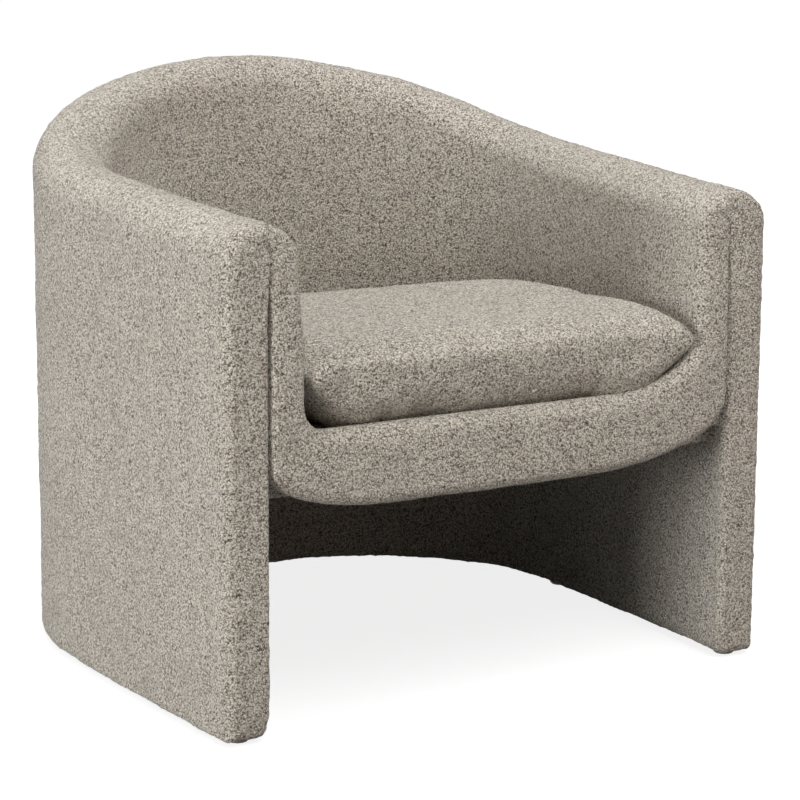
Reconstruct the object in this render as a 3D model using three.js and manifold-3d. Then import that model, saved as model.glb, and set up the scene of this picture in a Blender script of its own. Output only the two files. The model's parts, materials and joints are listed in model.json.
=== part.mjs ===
// An upholstered tub chair: a padded wall on a timber frame runs round the sides and the back
// down to the floor, a softer bucket with a front rail is set inside it, and a loose cushion
// lies on the sprung deck. Millimetres, +Z up, the front faces -Y, the origin on the floor.

import * as THREE from 'three';
import { mergeVertices } from 'three/addons/utils/BufferGeometryUtils.js';
import Module from 'manifold-3d';

const wasm = await Module();
wasm.setup();

// Whole chair
const overallWidth = 800;
const overallDepth = 772;
const backHeight = 749;
const armHeight = 612;
const sideRun = 396;
const toeIn = 10.5;
const cornerPower = 2.44;
const cornerSwellShare = 0.2;
const topRiseShares = [0, 0.1, 0.28, 0.765, 1];
const thinningEndShare = 0.7;

// Wall and bucket, measured inwards from the outer face
const wallThickness = 59.4;
const bucketThickness = 108;
const armTopThickness = 102;
const backTopThickness = 88;
const rollHeight = 44;
const leanStart = 500;
const floorGap = 5;
const bottomEdgeRadius = 11.5;
const turnUnder = 22;

// Layers
const fabricThickness = 2.6;
const padThickness = 9;
const boardThickness = 4;
const webbingThickness = 1.6;
const seatGap = 0.3;
const slopeGap = 1.2;

// Front of the legs and the band round the bucket
const facingDepth = 13;
const facingEdgeRadius = 11;
const bandProud = 8;
const bandEdgeRadius = 18;
const bandWidthShare = 0.45;
const bandDepthShare = 0.9;
const bandFadeLowHeight = 430;
const bandFadeTopHeight = 540;
const bandBow = 6;
const railBottom = 266;
const railTop = 366;
const railCornerReach = 185;
const railCornerHeight = 64;
const railInnerReach = 42;
const railInnerHeight = 48;
const railClothRise = 4;
const railEndTop = 306;
const bandTopGap = 14;

// Timber
const baseRibHeight = 24;
const topRailHeight = 36;
const postWidth = 45;
const postShares = [0.33, 0.68];
const seatRailThickness = 22.5;
const seatRailHeight = 46;
const seatRailJointShare = 0.62;
const frontBoardThickness = 24;
const springRailThickness = 24;
const springRailSetback = 120;
const blockLeg = 60;
const blockHeight = 36;

// Springs and deck
const springCount = 4;
const springSpacingShare = 0.5;
const springBends = 8;
const springHalfWidth = 24;
const wireRadius = 1.8;
const springCrown = 4;
const clipWidth = 16;
const clipFoot = 6;
const clipLip = 5;
const clipThickness = 1.5;
const clipOverlap = 2;
const deckDrop = 6;
const deckPadThickness = 12;
const insulatorThickness = 3;
const dustCoverThickness = 1.4;

// Loose cushion
const cushionTop = 464.5;
const cushionSeam = 430.5;
const cushionSideGap = 1.5;
const cushionFrontSetback = 2;
const cushionFrontBow = 1.5;
const cushionEdgeRatio = 2;
const cushionBackFall = 46;
const seamBackFall = 30;
const backFallStart = -94;
const topRollReach = 91;
const topRollPower = 0.33;
const underRollReach = 60;
const underRollPower = 0.41;
const pointedTopTaper = 24;
const pointedTopPower = 0.85;
const pointedUnderTaper = 111;
const pointedUnderPower = 0.66;
const tuckedTopTaper = 60;
const tuckedTopPower = 0.55;
const tuckedUnderTaper = 90;
const tuckedUnderPower = 0.7;
const cornerZoneStart = 113;
const cornerZoneEnd = 395;
const sideTaper = 102;
const sideRoundPower = 0.34;
const undersideFlatShare = 1.12;
const zipLength = 340;
const zipWidth = 12;
const zipSetback = 95;
const zipTapeThickness = 1;
const sliderLength = 14;
const sliderWidth = 8;
const sliderThickness = 1.2;
const zipEndStop = 2;
const cutOverrun = 1;

// Glides
const glideRadius = 14;
const glideBevel = 2;
const nailRadius = 2;
const nailLength = 24;
const nailPoint = 4;
const frontGlideSetback = 30;
const sideGlideBehind = 28;

// Fineness of the curved forms, as counts
const wallSteps = 34;
const planSamples = 60;
const rollSteps = 8;
const edgeSteps = 3;
const cornerSteps = 5;
const roundSides = 12;
const wireSides = 5;
const stepsPerBend = 4;
const railSpans = 4;
const railEdgeSteps = 6;
const cushionFrontSteps = 10;
const cushionRingShares = [0.985, 0.945, 0.87, 0.72, 0.4];

// Places that follow from the sizes
const legFrontY = -overallDepth / 2 + bandProud;
const wallFrontY = legFrontY + facingDepth;
const bandFrontY = -overallDepth / 2;
const backY = overallDepth / 2;
const curveStartY = legFrontY + sideRun;
const innerFabric = fabricThickness + seatGap;
const panelInset = innerFabric + padThickness + seatGap;
const frameInset = panelInset + boardThickness + seatGap;
const legLiningInset = wallThickness - panelInset - boardThickness;
const frameEndInset = legLiningInset - seatGap;
const webbingInset = frameEndInset + seatGap;
const bucketFoamInset = webbingInset + webbingThickness + seatGap;
const frameBottom = floorGap + innerFabric;
const baseRibTop = frameBottom + baseRibHeight;
const deckTop = railTop - deckDrop;
const deckClothBottom = deckTop - fabricThickness;
const deckPadBottom = deckClothBottom - seatGap - deckPadThickness;
const insulatorBottom = deckPadBottom - seatGap - insulatorThickness;
const springTop = insulatorBottom - seatGap;
const wireZ = springTop - wireRadius - springCrown;
const springSeatTop = wireZ - wireRadius - seatGap - clipThickness - seatGap;
const seatRailTop = insulatorBottom - seatGap;
const seatRailBottom = springSeatTop - seatRailHeight;
const legLiningTop = seatRailBottom - seatGap;
const bucketBottom = insulatorBottom + insulatorThickness + seatGap;
const seatRailInset = frameEndInset + seatGap;
const seatRailEndInset = seatRailInset + seatRailThickness;
const deckFrontY = wallFrontY + seatGap;
const boardFrontY = deckFrontY + fabricThickness + seatGap;
const boardBackY = boardFrontY + frontBoardThickness;
const springRailBackY = backY - springRailSetback;
const springRailFrontY = springRailBackY - springRailThickness;

// Finishes
const finishes = {
  fabric: new THREE.MeshStandardMaterial({ color: 0xb3a999, roughness: 0.95, metalness: 0 }),
  foam: new THREE.MeshStandardMaterial({ color: 0xe6dcb4, roughness: 0.9, metalness: 0 }),
  timber: new THREE.MeshStandardMaterial({ color: 0xc79f6b, roughness: 0.7, metalness: 0 }),
  plywood: new THREE.MeshStandardMaterial({ color: 0xd8bb8a, roughness: 0.65, metalness: 0 }),
  webbing: new THREE.MeshStandardMaterial({ color: 0x8a7a5c, roughness: 0.9, metalness: 0 }),
  felt: new THREE.MeshStandardMaterial({ color: 0x77736c, roughness: 0.95, metalness: 0 }),
  dustCloth: new THREE.MeshStandardMaterial({ color: 0x1c1b1a, roughness: 0.95, metalness: 0 }),
  steel: new THREE.MeshStandardMaterial({ color: 0x8d9094, roughness: 0.4, metalness: 0.9 }),
  zip: new THREE.MeshStandardMaterial({ color: 0x6e655a, roughness: 0.6, metalness: 0 }),
  glide: new THREE.MeshStandardMaterial({ color: 0x1a1918, roughness: 0.3, metalness: 0 }),
};

const chair = new THREE.Group();

function addPiece(name, geometry, finish) {
  const mesh = new THREE.Mesh(geometry, finishes[finish].clone());
  mesh.name = name;
  chair.add(mesh);
}

const sideNames = [['left', -1], ['right', 1]];

// Solids from rings of points

function signedVolume(positions, indices) {
  const a = new THREE.Vector3();
  const b = new THREE.Vector3();
  const c = new THREE.Vector3();
  let volume = 0;
  for (let i = 0; i < indices.length; i += 3) {
    a.fromArray(positions, indices[i] * 3);
    b.fromArray(positions, indices[i + 1] * 3);
    c.fromArray(positions, indices[i + 2] * 3);
    volume += a.dot(b.cross(c));
  }
  return volume;
}

function closedGeometry(positions, indices) {
  const outwards = signedVolume(positions, indices) > 0;
  const geometry = new THREE.BufferGeometry();
  geometry.setAttribute('position', new THREE.Float32BufferAttribute(positions, 3));
  geometry.setIndex(outwards ? indices : indices.slice().reverse());
  geometry.computeVertexNormals();
  return geometry;
}

// Rings all have the same number of points. Each one has a flat outline for its end cap, and
// every side face is split from the lower first coordinate on one ring to the higher one on
// the next, so that the faces of nested pieces stay parallel.
function loft(rings) {
  const positions = [];
  const indices = [];
  const count = rings[0].points.length;
  for (const ring of rings) {
    for (const point of ring.points) {
      positions.push(point.x, point.y, point.z);
    }
  }
  for (let r = 0; r + 1 < rings.length; r++) {
    for (let k = 0; k < count; k++) {
      const next = (k + 1) % count;
      const a = r * count + k;
      const b = r * count + next;
      const c = a + count;
      const d = b + count;
      if (rings[r].outline[k].x < rings[r].outline[next].x) {
        indices.push(a, b, d, a, d, c);
      } else {
        indices.push(a, b, c, b, d, c);
      }
    }
  }
  const last = (rings.length - 1) * count;
  const startFaces = THREE.ShapeUtils.triangulateShape(rings[0].outline, []);
  const endFaces = THREE.ShapeUtils.triangulateShape(rings[rings.length - 1].outline, []);
  const clockwise = THREE.ShapeUtils.isClockWise(rings[0].outline);
  for (const [p, q, s] of startFaces) {
    indices.push(...(clockwise ? [p, q, s] : [s, q, p]));
  }
  for (const [p, q, s] of endFaces) {
    indices.push(...(clockwise ? [last + s, last + q, last + p] : [last + p, last + q, last + s]));
  }
  return closedGeometry(positions, indices);
}

function toSolid(geometry) {
  const bare = geometry.clone();
  bare.deleteAttribute('normal');
  bare.deleteAttribute('uv');
  const merged = mergeVertices(bare);
  const vertProperties = new Float32Array(merged.getAttribute('position').array);
  const triVerts = new Uint32Array(merged.getIndex().array);
  return new wasm.Manifold(new wasm.Mesh({ numProp: 3, vertProperties, triVerts }));
}

function fromSolid(solid) {
  const mesh = solid.getMesh();
  return closedGeometry(Array.from(mesh.vertProperties), Array.from(mesh.triVerts));
}

function cut(body, ...tools) {
  return fromSolid(tools.reduce((rest, tool) => rest.subtract(toSolid(tool)), toSolid(body)));
}

function block(lowX, highX, lowY, highY, lowZ, highZ) {
  const geometry = new THREE.BoxGeometry(highX - lowX, highY - lowY, highZ - lowZ);
  geometry.translate((lowX + highX) / 2, (lowY + highY) / 2, (lowZ + highZ) / 2);
  return geometry;
}

// A flat outline of [x, y] points, raised from one height to another
function raised(points, lowZ, highZ) {
  const shape = new THREE.Shape(points.map(([x, y]) => new THREE.Vector2(x, y)));
  const geometry = new THREE.ExtrudeGeometry(shape, { depth: highZ - lowZ, bevelEnabled: false });
  geometry.translate(0, 0, lowZ);
  return geometry;
}

// Run of the wall: the line of its outer face from the left front, round the back, to the
// right front. Each station holds its place, its direction into the chair, the height of the
// top edge, and its share of the way from the front to the middle of the back.

const beforeFirstRise = 2 * topRiseShares[0] - topRiseShares[1];
const afterLastRise = topRiseShares[topRiseShares.length - 2];
const rises = [beforeFirstRise, ...topRiseShares, afterLastRise];
const riseCurve = new THREE.SplineCurve(rises.map((rise, i) => new THREE.Vector2(i, rise)));

function topHeight(share) {
  const along = (share * (topRiseShares.length - 1) + 1) / (rises.length - 1);
  return armHeight + (backHeight - armHeight) * riseCurve.getPoint(along).y;
}

function sideX(y) {
  const reach = Math.max(0, curveStartY - y) / sideRun;
  return overallWidth / 2 - toeIn * reach * reach;
}

function planPoints() {
  const halfWidth = overallWidth / 2;
  const halfDepth = backY - curveStartY;
  const rightHalf = [];
  for (let i = 0; i < planSamples; i++) {
    const y = THREE.MathUtils.lerp(wallFrontY + seatGap, curveStartY, i / planSamples);
    rightHalf.push(new THREE.Vector2(sideX(y), y));
  }
  for (let i = 0; i <= planSamples; i++) {
    const angle = (Math.PI / 2) * (i / planSamples);
    const x = i === planSamples ? 0 : halfWidth * Math.cos(angle) ** (2 / cornerPower);
    const y = curveStartY + halfDepth * Math.sin(angle) ** (2 / cornerPower);
    rightHalf.push(new THREE.Vector2(x, y));
  }
  const leftHalf = rightHalf.slice(0, -1).map((p) => new THREE.Vector2(-p.x, p.y));
  return [...leftHalf, ...rightHalf.reverse()];
}

function makeStations() {
  const points = planPoints();
  const distances = [0];
  for (let i = 1; i < points.length; i++) {
    distances.push(distances[i - 1] + points[i].distanceTo(points[i - 1]));
  }
  const total = distances[distances.length - 1];
  const stations = [];
  for (let i = 0; i <= wallSteps; i++) {
    const distance = (total * i) / wallSteps;
    const upper = Math.min(points.length - 1, Math.max(1, distances.findIndex((d) => d >= distance)));
    const part = (distance - distances[upper - 1]) / (distances[upper] - distances[upper - 1]);
    const place = points[upper - 1].clone().lerp(points[upper], part);
    const inward = new THREE.Vector2(-Math.sign(place.x), 0);
    if (place.y > curveStartY) {
      const acrossShare = Math.abs(place.x) / (overallWidth / 2);
      const depthShare = (place.y - curveStartY) / (backY - curveStartY);
      const normalX = acrossShare ** (cornerPower - 1) / (overallWidth / 2);
      const normalY = depthShare ** (cornerPower - 1) / (backY - curveStartY);
      inward.set(-Math.sign(place.x) * normalX, -normalY).normalize();
      const bend = 2 * Math.abs(inward.x * inward.y);
      inward.multiplyScalar(1 + cornerSwellShare * bend * bend);
    }
    const fromFront = Math.min(distance, total - distance) + facingDepth;
    const share = fromFront / (total / 2 + facingDepth);
    stations.push({ run: i / wallSteps, place, inward, share, top: topHeight(share) });
  }
  return stations;
}

const stations = makeStations();
const frontStation = stations[0];
const frontHalf = Math.abs(frontStation.place.x);
const frontCreaseX = frontHalf - wallThickness;

// Between two stations the wall is straight, so every piece on it follows the same facets
function stationAt(run) {
  const scaled = Math.min(wallSteps, Math.max(0, run * wallSteps));
  const low = Math.min(wallSteps - 1, Math.floor(scaled));
  const part = scaled - low;
  const a = stations[low];
  const b = stations[low + 1];
  return {
    run,
    place: a.place.clone().lerp(b.place, part),
    inward: a.inward.clone().lerp(b.inward, part),
    share: THREE.MathUtils.lerp(a.share, b.share, part),
    top: THREE.MathUtils.lerp(a.top, b.top, part),
  };
}

// Length of the wall's outer line
const wallLength = stations.slice(1).reduce((sum, s, i) => sum + s.place.distanceTo(stations[i].place), 0);

function placeAt(station, inset) {
  return station.place.clone().addScaledVector(station.inward, inset);
}

// A piece that follows the wall: its section gives [inset, height] points for a station. It
// has a ring at every station between its ends, and at any further places that it needs.
function alongWall(fromRun, toRun, section, furtherRuns = []) {
  const between = stations.filter((s) => s.run > fromRun + Number.EPSILON && s.run < toRun - Number.EPSILON);
  const used = [stationAt(fromRun), ...between, ...furtherRuns.map(stationAt), stationAt(toRun)];
  used.sort((a, b) => a.run - b.run);
  return loft(used.map((station) => {
    const outline = section(station).map(([inset, z]) => new THREE.Vector2(inset, z));
    const points = outline.map((p) => {
      const spot = placeAt(station, p.x);
      return new THREE.Vector3(spot.x, spot.y, p.y);
    });
    return { outline, points };
  }));
}

function wallBand(fromRun, toRun, lowInset, highInset, low, high, furtherRuns = []) {
  const section = (station) => {
    const lowZ = typeof low === 'function' ? low(station) : low;
    const highZ = typeof high === 'function' ? high(station) : high;
    return [[lowInset, lowZ], [highInset, lowZ], [highInset, highZ], [lowInset, highZ]];
  };
  return alongWall(fromRun, toRun, section, furtherRuns);
}

// How far out a line at some inset reaches at a given depth
function reachAt(inset, y) {
  const line = stations.filter((s) => s.run >= 0.5).map((s) => placeAt(s, inset));
  for (let i = 0; i + 1 < line.length; i++) {
    if (line[i].y >= y && line[i + 1].y <= y) {
      const part = (line[i].y - y) / (line[i].y - line[i + 1].y);
      return THREE.MathUtils.lerp(line[i].x, line[i + 1].x, part);
    }
  }
  return line[line.length - 1].x;
}

// Share of the run at which the right half of the outer line stands at a given depth
function runAtDepth(y) {
  for (let i = stations.length - 1; i > 0; i--) {
    const near = stations[i];
    const far = stations[i - 1];
    if (near.place.y <= y && far.place.y >= y) {
      const part = (y - near.place.y) / (far.place.y - near.place.y);
      return THREE.MathUtils.lerp(near.run, far.run, part);
    }
  }
  return 1;
}

// Sections of the wall

function topThickness(station) {
  const thinning = THREE.MathUtils.smoothstep(station.share, 0, thinningEndShare);
  return THREE.MathUtils.lerp(armTopThickness, backTopThickness, thinning);
}

function rollBase(station) {
  return station.top - rollHeight;
}

function underRoll(station) {
  return rollBase(station) - seatGap;
}

// Half an ellipse over the wall, from the outer side to the inner side
function rollOutline(station, depth) {
  const half = topThickness(station) / 2;
  const points = [];
  for (let i = 0; i <= rollSteps; i++) {
    const angle = Math.PI * (1 - i / rollSteps);
    const inset = half + (half - depth) * Math.cos(angle);
    points.push([inset, rollBase(station) + (rollHeight - depth) * Math.sin(angle)]);
  }
  return points;
}

// Quarter round at the bottom edge of the wall, from the floor side up to the outer side
function bottomRound(depth) {
  const radius = bottomEdgeRadius - depth;
  const points = [];
  for (let i = 0; i <= edgeSteps; i++) {
    const angle = (Math.PI / 2) * (i / edgeSteps);
    points.push([bottomEdgeRadius - radius * Math.sin(angle), floorGap + depth + radius * (1 - Math.cos(angle))]);
  }
  return points;
}

function mirroredInWall(points) {
  return points.map(([inset, z]) => [wallThickness - inset, z]);
}

function outerCoverSection(station) {
  const outer = [[turnUnder, floorGap], ...bottomRound(0), ...rollOutline(station, 0)];
  const inner = [
    [turnUnder, floorGap + fabricThickness],
    ...bottomRound(fabricThickness),
    ...rollOutline(station, fabricThickness),
  ];
  return [...outer, ...inner.reverse()];
}

// Inside the legs the lining ends under the seat rails. At the very front, before the rails
// begin, it goes on up to the ends of the front rail, which are open under the band's corners.
const sideRailStart = runAtDepth(boardBackY + seatGap);
const liningRuns = [1 - sideRailStart, sideRailStart];

function liningTop(station) {
  return station.run === 0 || station.run === 1 ? railEndTop - seatGap : legLiningTop;
}

function legCoverSection(station) {
  const outer = mirroredInWall([[turnUnder, floorGap], ...bottomRound(0), [0, liningTop(station)]]);
  const inner = mirroredInWall([
    [turnUnder, floorGap + fabricThickness],
    ...bottomRound(fabricThickness),
    [fabricThickness, liningTop(station)],
  ]);
  return [...outer, ...inner.reverse()];
}

function outerPadSection(station) {
  return [
    ...bottomRound(innerFabric),
    [innerFabric, underRoll(station)],
    [panelInset - seatGap, underRoll(station)],
    [panelInset - seatGap, frameBottom],
  ];
}

function legPadSection(station) {
  return mirroredInWall([
    ...bottomRound(innerFabric),
    [innerFabric, liningTop(station)],
    [panelInset - seatGap, liningTop(station)],
    [panelInset - seatGap, frameBottom],
  ]);
}

// The half round of padding over the wall. Its underside has a point at the edge of each
// layer that it covers, so that the faces match.
function rollPadSection(station) {
  const edges = [
    bucketFoamInset, bucketFoamInset - seatGap, webbingInset, frameEndInset,
    frameInset, frameInset - seatGap, panelInset, panelInset - seatGap,
  ];
  return [...rollOutline(station, innerFabric), ...edges.map((inset) => [inset, rollBase(station)])];
}

// Inner face of the bucket: upright beside the cushion, leaning out to meet the roll
function bucketFace(station, depth, low, high) {
  return [
    [topThickness(station) - depth, high],
    [bucketThickness - depth, leanStart],
    [bucketThickness - depth, low],
  ];
}

// Frame round the wall
const baseRibBody = wallBand(0, 1, frameInset, frameEndInset, frameBottom, baseRibTop);
const topRailBottom = (station) => underRoll(station) - topRailHeight;
addPiece('top_rail', wallBand(0, 1, frameInset, frameEndInset, topRailBottom, underRoll), 'timber');

const halfPostRun = postWidth / 2 / wallLength;
const postRuns = [
  ['front_left', halfPostRun],
  ...postShares.map((share, i) => [`${['side', 'corner'][i]}_left`, share / 2]),
  ['back', 0.5],
  ...postShares.map((share, i) => [`${['side', 'corner'][i]}_right`, 1 - share / 2]).reverse(),
  ['front_right', 1 - halfPostRun],
];
for (const [place, run] of postRuns) {
  const postTop = (station) => topRailBottom(station) - slopeGap;
  const post = wallBand(
    run - halfPostRun, run + halfPostRun, frameInset, frameEndInset, baseRibTop + seatGap, postTop,
  );
  addPiece(`post_${place}`, post, 'timber');
}

// Boards that close the wall
addPiece('outer_board', wallBand(0, 1, panelInset, panelInset + boardThickness, frameBottom, underRoll), 'plywood');
addPiece(
  'leg_inner_board',
  wallBand(0, 1, legLiningInset, legLiningInset + boardThickness, frameBottom, liningTop, liningRuns),
  'plywood',
);

// Seat frame between the legs
const sideRailEnd = 1 - seatRailJointShare / 2;
const jointRun = seatGap / wallLength;
for (const [side, sign] of sideNames) {
  const [from, to] = sign > 0 ? [sideRailEnd, sideRailStart] : [1 - sideRailStart, 1 - sideRailEnd];
  const rail = wallBand(from, to, seatRailInset, seatRailEndInset, seatRailBottom, seatRailTop);
  addPiece(`seat_rail_${side}`, rail, 'timber');
}
addPiece(
  'seat_rail_back',
  wallBand(
    1 - sideRailEnd + jointRun, sideRailEnd - jointRun, seatRailInset, seatRailEndInset, seatRailBottom, seatRailTop,
  ),
  'timber',
);

// The front rail is cut away under the rounded lower corners of the band, and its cloth goes
// down its front and back under it
const boardHalf = reachAt(seatRailInset, boardFrontY);

function railEdge(rise) {
  const edge = [];
  for (let i = 0; i <= railEdgeSteps; i++) {
    const angle = (Math.PI / 2) * (i / railEdgeSteps);
    const x = frontCreaseX - railCornerReach * (1 - Math.cos(angle));
    const z = railBottom + railCornerHeight * (1 - Math.sin(angle));
    edge.push([x, THREE.MathUtils.clamp(z, seatRailBottom, railEndTop) + rise]);
  }
  const right = [[boardHalf, railEndTop + rise], ...edge];
  return [...right, ...right.map(([x, z]) => [-x, z]).reverse()];
}

const clothEdge = railEdge(railClothRise);
const boardEdge = railEdge(railClothRise + fabricThickness + seatGap);
addPiece(
  'front_rail_cloth',
  loft(clothEdge.map(([x, z]) => {
    const outline = [
      [deckFrontY, springSeatTop], [deckFrontY, z], [boardBackY, z], [boardBackY, z + fabricThickness],
      [deckFrontY + fabricThickness, z + fabricThickness], [deckFrontY + fabricThickness, springSeatTop],
    ].map(([y, height]) => new THREE.Vector2(y, height));
    return { outline, points: outline.map((p) => new THREE.Vector3(x, p.x, p.y)) };
  })),
  'fabric',
);
addPiece(
  'front_rail_board',
  loft([boardFrontY, boardBackY].map((y) => {
    const outline = [[-boardHalf, springSeatTop], [boardHalf, springSeatTop], ...boardEdge];
    return {
      outline: outline.map(([x, z]) => new THREE.Vector2(x, z)),
      points: outline.map(([x, z]) => new THREE.Vector3(x, y, z)),
    };
  })),
  'timber',
);
const springRailHalf = reachAt(seatRailEndInset + seatGap, springRailBackY);
addPiece(
  'spring_rail',
  block(-springRailHalf, springRailHalf, springRailFrontY, springRailBackY, seatRailBottom, springSeatTop),
  'timber',
);

const blockBottom = (seatRailBottom + springSeatTop - blockHeight) / 2;
for (const [side, sign] of sideNames) {
  const frontY = boardBackY + seatGap;
  const rearY = springRailFrontY - seatGap;
  const inset = seatRailEndInset + seatGap;
  const frontCorner = reachAt(inset, frontY);
  const frontPoints = [
    [sign * frontCorner, frontY],
    [sign * reachAt(inset, frontY + blockLeg), frontY + blockLeg],
    [sign * (frontCorner - blockLeg), frontY],
  ];
  const rearPoints = [
    [sign * reachAt(inset, rearY), rearY],
    [sign * (reachAt(inset, rearY) - blockLeg), rearY],
    [sign * reachAt(inset, rearY - blockLeg), rearY - blockLeg],
  ];
  addPiece(`corner_block_front_${side}`, raised(frontPoints, blockBottom, blockBottom + blockHeight), 'timber');
  addPiece(`corner_block_back_${side}`, raised(rearPoints, blockBottom, blockBottom + blockHeight), 'timber');
}

// Sinuous springs, each held by a clip on the front board and one on the spring rail
const springFrontY = boardFrontY + frontBoardThickness / 2;
const springBackY = springRailFrontY + springRailThickness / 2;

class SpringPath extends THREE.Curve {
  constructor(x) {
    super();
    this.x = x;
  }

  getPoint(t, target = new THREE.Vector3()) {
    const turns = springBends * Math.PI;
    const swing = springHalfWidth * Math.sin(turns * t);
    const y = THREE.MathUtils.lerp(springFrontY, springBackY, t);
    const rise = springCrown * Math.sin(Math.PI * t);
    const lag = ((springBackY - springFrontY) / turns / 2) * Math.sin(2 * turns * t);
    return target.set(this.x + swing, y - lag, wireZ + rise);
  }
}

function spring(x) {
  const sides = [];
  for (let i = 0; i < wireSides; i++) {
    const angle = (2 * Math.PI * i) / wireSides;
    sides.push(new THREE.Vector2(wireRadius * Math.cos(angle), wireRadius * Math.sin(angle)));
  }
  return new THREE.ExtrudeGeometry(new THREE.Shape(sides), {
    steps: springBends * stepsPerBend,
    extrudePath: new SpringPath(x),
    bevelEnabled: false,
  });
}

// A clip is folded round the end of the wire, open towards the spring
function springClip(lowX, wireY, away) {
  const wall = wireRadius + seatGap;
  const outline = [
    [wall + clipThickness + clipFoot, -wall - clipThickness],
    [-clipLip, -wall - clipThickness],
    [-clipLip, -wall],
    [wall, -wall],
    [wall, wall],
    [-clipLip, wall],
    [-clipLip, wall + clipThickness],
    [wall + clipThickness, wall + clipThickness],
    [wall + clipThickness, -wall],
    [wall + clipThickness + clipFoot, -wall],
  ];
  const rings = [lowX, lowX + clipWidth].map((x) => ({
    outline: outline.map(([y, z]) => new THREE.Vector2(y, z)),
    points: outline.map(([y, z]) => new THREE.Vector3(x, wireY + away * y, wireZ + z)),
  }));
  return loft(rings);
}

for (let i = 0; i < springCount; i++) {
  const x = (i - (springCount - 1) / 2) * springSpacingShare * springRailHalf;
  addPiece(`spring_${i + 1}`, spring(x), 'steel');
  addPiece(`spring_clip_front_${i + 1}`, springClip(x - clipOverlap, springFrontY, -1), 'steel');
  addPiece(`spring_clip_back_${i + 1}`, springClip(x + clipOverlap - clipWidth, springBackY, 1), 'steel');
}

// Deck over the springs, and the dust cover under them, both cut to the plan of the wall
function deckOutline(inset, frontY) {
  const reach = reachAt(inset, frontY);
  const inside = stations.map((s) => placeAt(s, inset)).filter((p) => p.y > frontY + seatGap);
  return [[-reach, frontY], ...inside.map((p) => [p.x, p.y]), [reach, frontY]];
}

const insulatorPlan = deckOutline(bucketFoamInset, deckFrontY);
const deckPlan = deckOutline(bucketThickness + seatGap, deckFrontY);
addPiece('insulator_pad', raised(insulatorPlan, insulatorBottom, insulatorBottom + insulatorThickness), 'felt');
addPiece('deck_pad', raised(deckPlan, deckPadBottom, deckPadBottom + deckPadThickness), 'foam');
addPiece('deck_cloth', raised(deckPlan, deckClothBottom, deckTop), 'fabric');
addPiece(
  'dust_cover',
  raised(deckOutline(wallThickness + seatGap, boardBackY + seatGap), legLiningTop - dustCoverThickness, legLiningTop),
  'dustCloth',
);

// Padding of the wall and the bucket
function bucketFoamSection(station) {
  return [
    [bucketFoamInset, bucketBottom],
    [bucketFoamInset, underRoll(station)],
    ...bucketFace(station, innerFabric, bucketBottom, underRoll(station)),
  ];
}

addPiece('outer_pad', alongWall(0, 1, outerPadSection), 'foam');
addPiece('leg_inner_pad', alongWall(0, 1, legPadSection, liningRuns), 'foam');
addPiece('roll_pad', alongWall(0, 1, rollPadSection), 'foam');
addPiece('bucket_foam', alongWall(0, 1, bucketFoamSection), 'foam');
addPiece(
  'back_webbing',
  wallBand(0, 1, webbingInset, webbingInset + webbingThickness, seatRailTop + seatGap, underRoll),
  'webbing',
);

// Covers of the wall and the bucket
function bucketCoverSection(station) {
  const outer = bucketFace(station, 0, bucketBottom, underRoll(station));
  const inner = bucketFace(station, fabricThickness, bucketBottom, underRoll(station));
  return [...outer, ...inner.reverse()];
}

addPiece('outer_cover', alongWall(0, 1, outerCoverSection), 'fabric');
addPiece('leg_inner_cover', alongWall(0, 1, legCoverSection, liningRuns), 'fabric');
addPiece('bucket_cover', alongWall(0, 1, bucketCoverSection), 'fabric');

// Facings: the padded front faces of the legs and arms, with rounded edges

function rollTopAt(inset) {
  const half = topThickness(frontStation) / 2;
  return Math.PI - Math.acos((half - inset) / half);
}

function moveInwards(outline, distance) {
  return outline.map((point, i) => {
    const before = outline[(i + outline.length - 1) % outline.length];
    const after = outline[(i + 1) % outline.length];
    const first = point.clone().sub(before).normalize();
    const second = after.clone().sub(point).normalize();
    const normal = new THREE.Vector2(first.y + second.y, -first.x - second.x);
    normal.divideScalar(1 + first.dot(second));
    return point.clone().addScaledVector(normal, distance);
  });
}

function facingOutline() {
  const creaseInset = wallThickness - seatGap;
  const half = topThickness(frontStation) / 2;
  const endAngle = rollTopAt(creaseInset);
  const points = [...bottomRound(0)];
  for (let i = 0; i <= cornerSteps; i++) {
    const angle = THREE.MathUtils.lerp(Math.PI, endAngle, i / cornerSteps);
    points.push([half + half * Math.cos(angle), rollBase(frontStation) + rollHeight * Math.sin(angle)]);
  }
  points.push(...bottomRound(0).reverse().map(([inset, z]) => [creaseInset - inset, z]));
  return points.map(([inset, z]) => new THREE.Vector2(inset, z));
}

function facing(sign, depth, backY) {
  const radius = facingEdgeRadius - depth;
  const whole = moveInwards(facingOutline(), depth);
  const levels = [[backY, 0]];
  for (let i = 0; i <= edgeSteps; i++) {
    const angle = (Math.PI / 2) * (i / edgeSteps);
    levels.push([legFrontY + depth + radius * (1 - Math.sin(angle)), radius * (1 - Math.cos(angle))]);
  }
  return loft(levels.map(([y, inset]) => {
    const outline = moveInwards(whole, inset);
    return { outline, points: outline.map((p) => new THREE.Vector3(sign * (frontHalf - p.x), y, p.y)) };
  }));
}

for (const [side, sign] of sideNames) {
  const hollow = facing(sign, fabricThickness, wallFrontY + fabricThickness);
  addPiece(`facing_cover_${side}`, cut(facing(sign, 0, wallFrontY), hollow), 'fabric');
  addPiece(`facing_pad_${side}`, facing(sign, innerFabric, wallFrontY), 'foam');
}

// Band: one padded strip down the front of one arm, along the front rail and up the other.
// Each step across it has a point on the crease side and one on the side of the seat.

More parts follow.
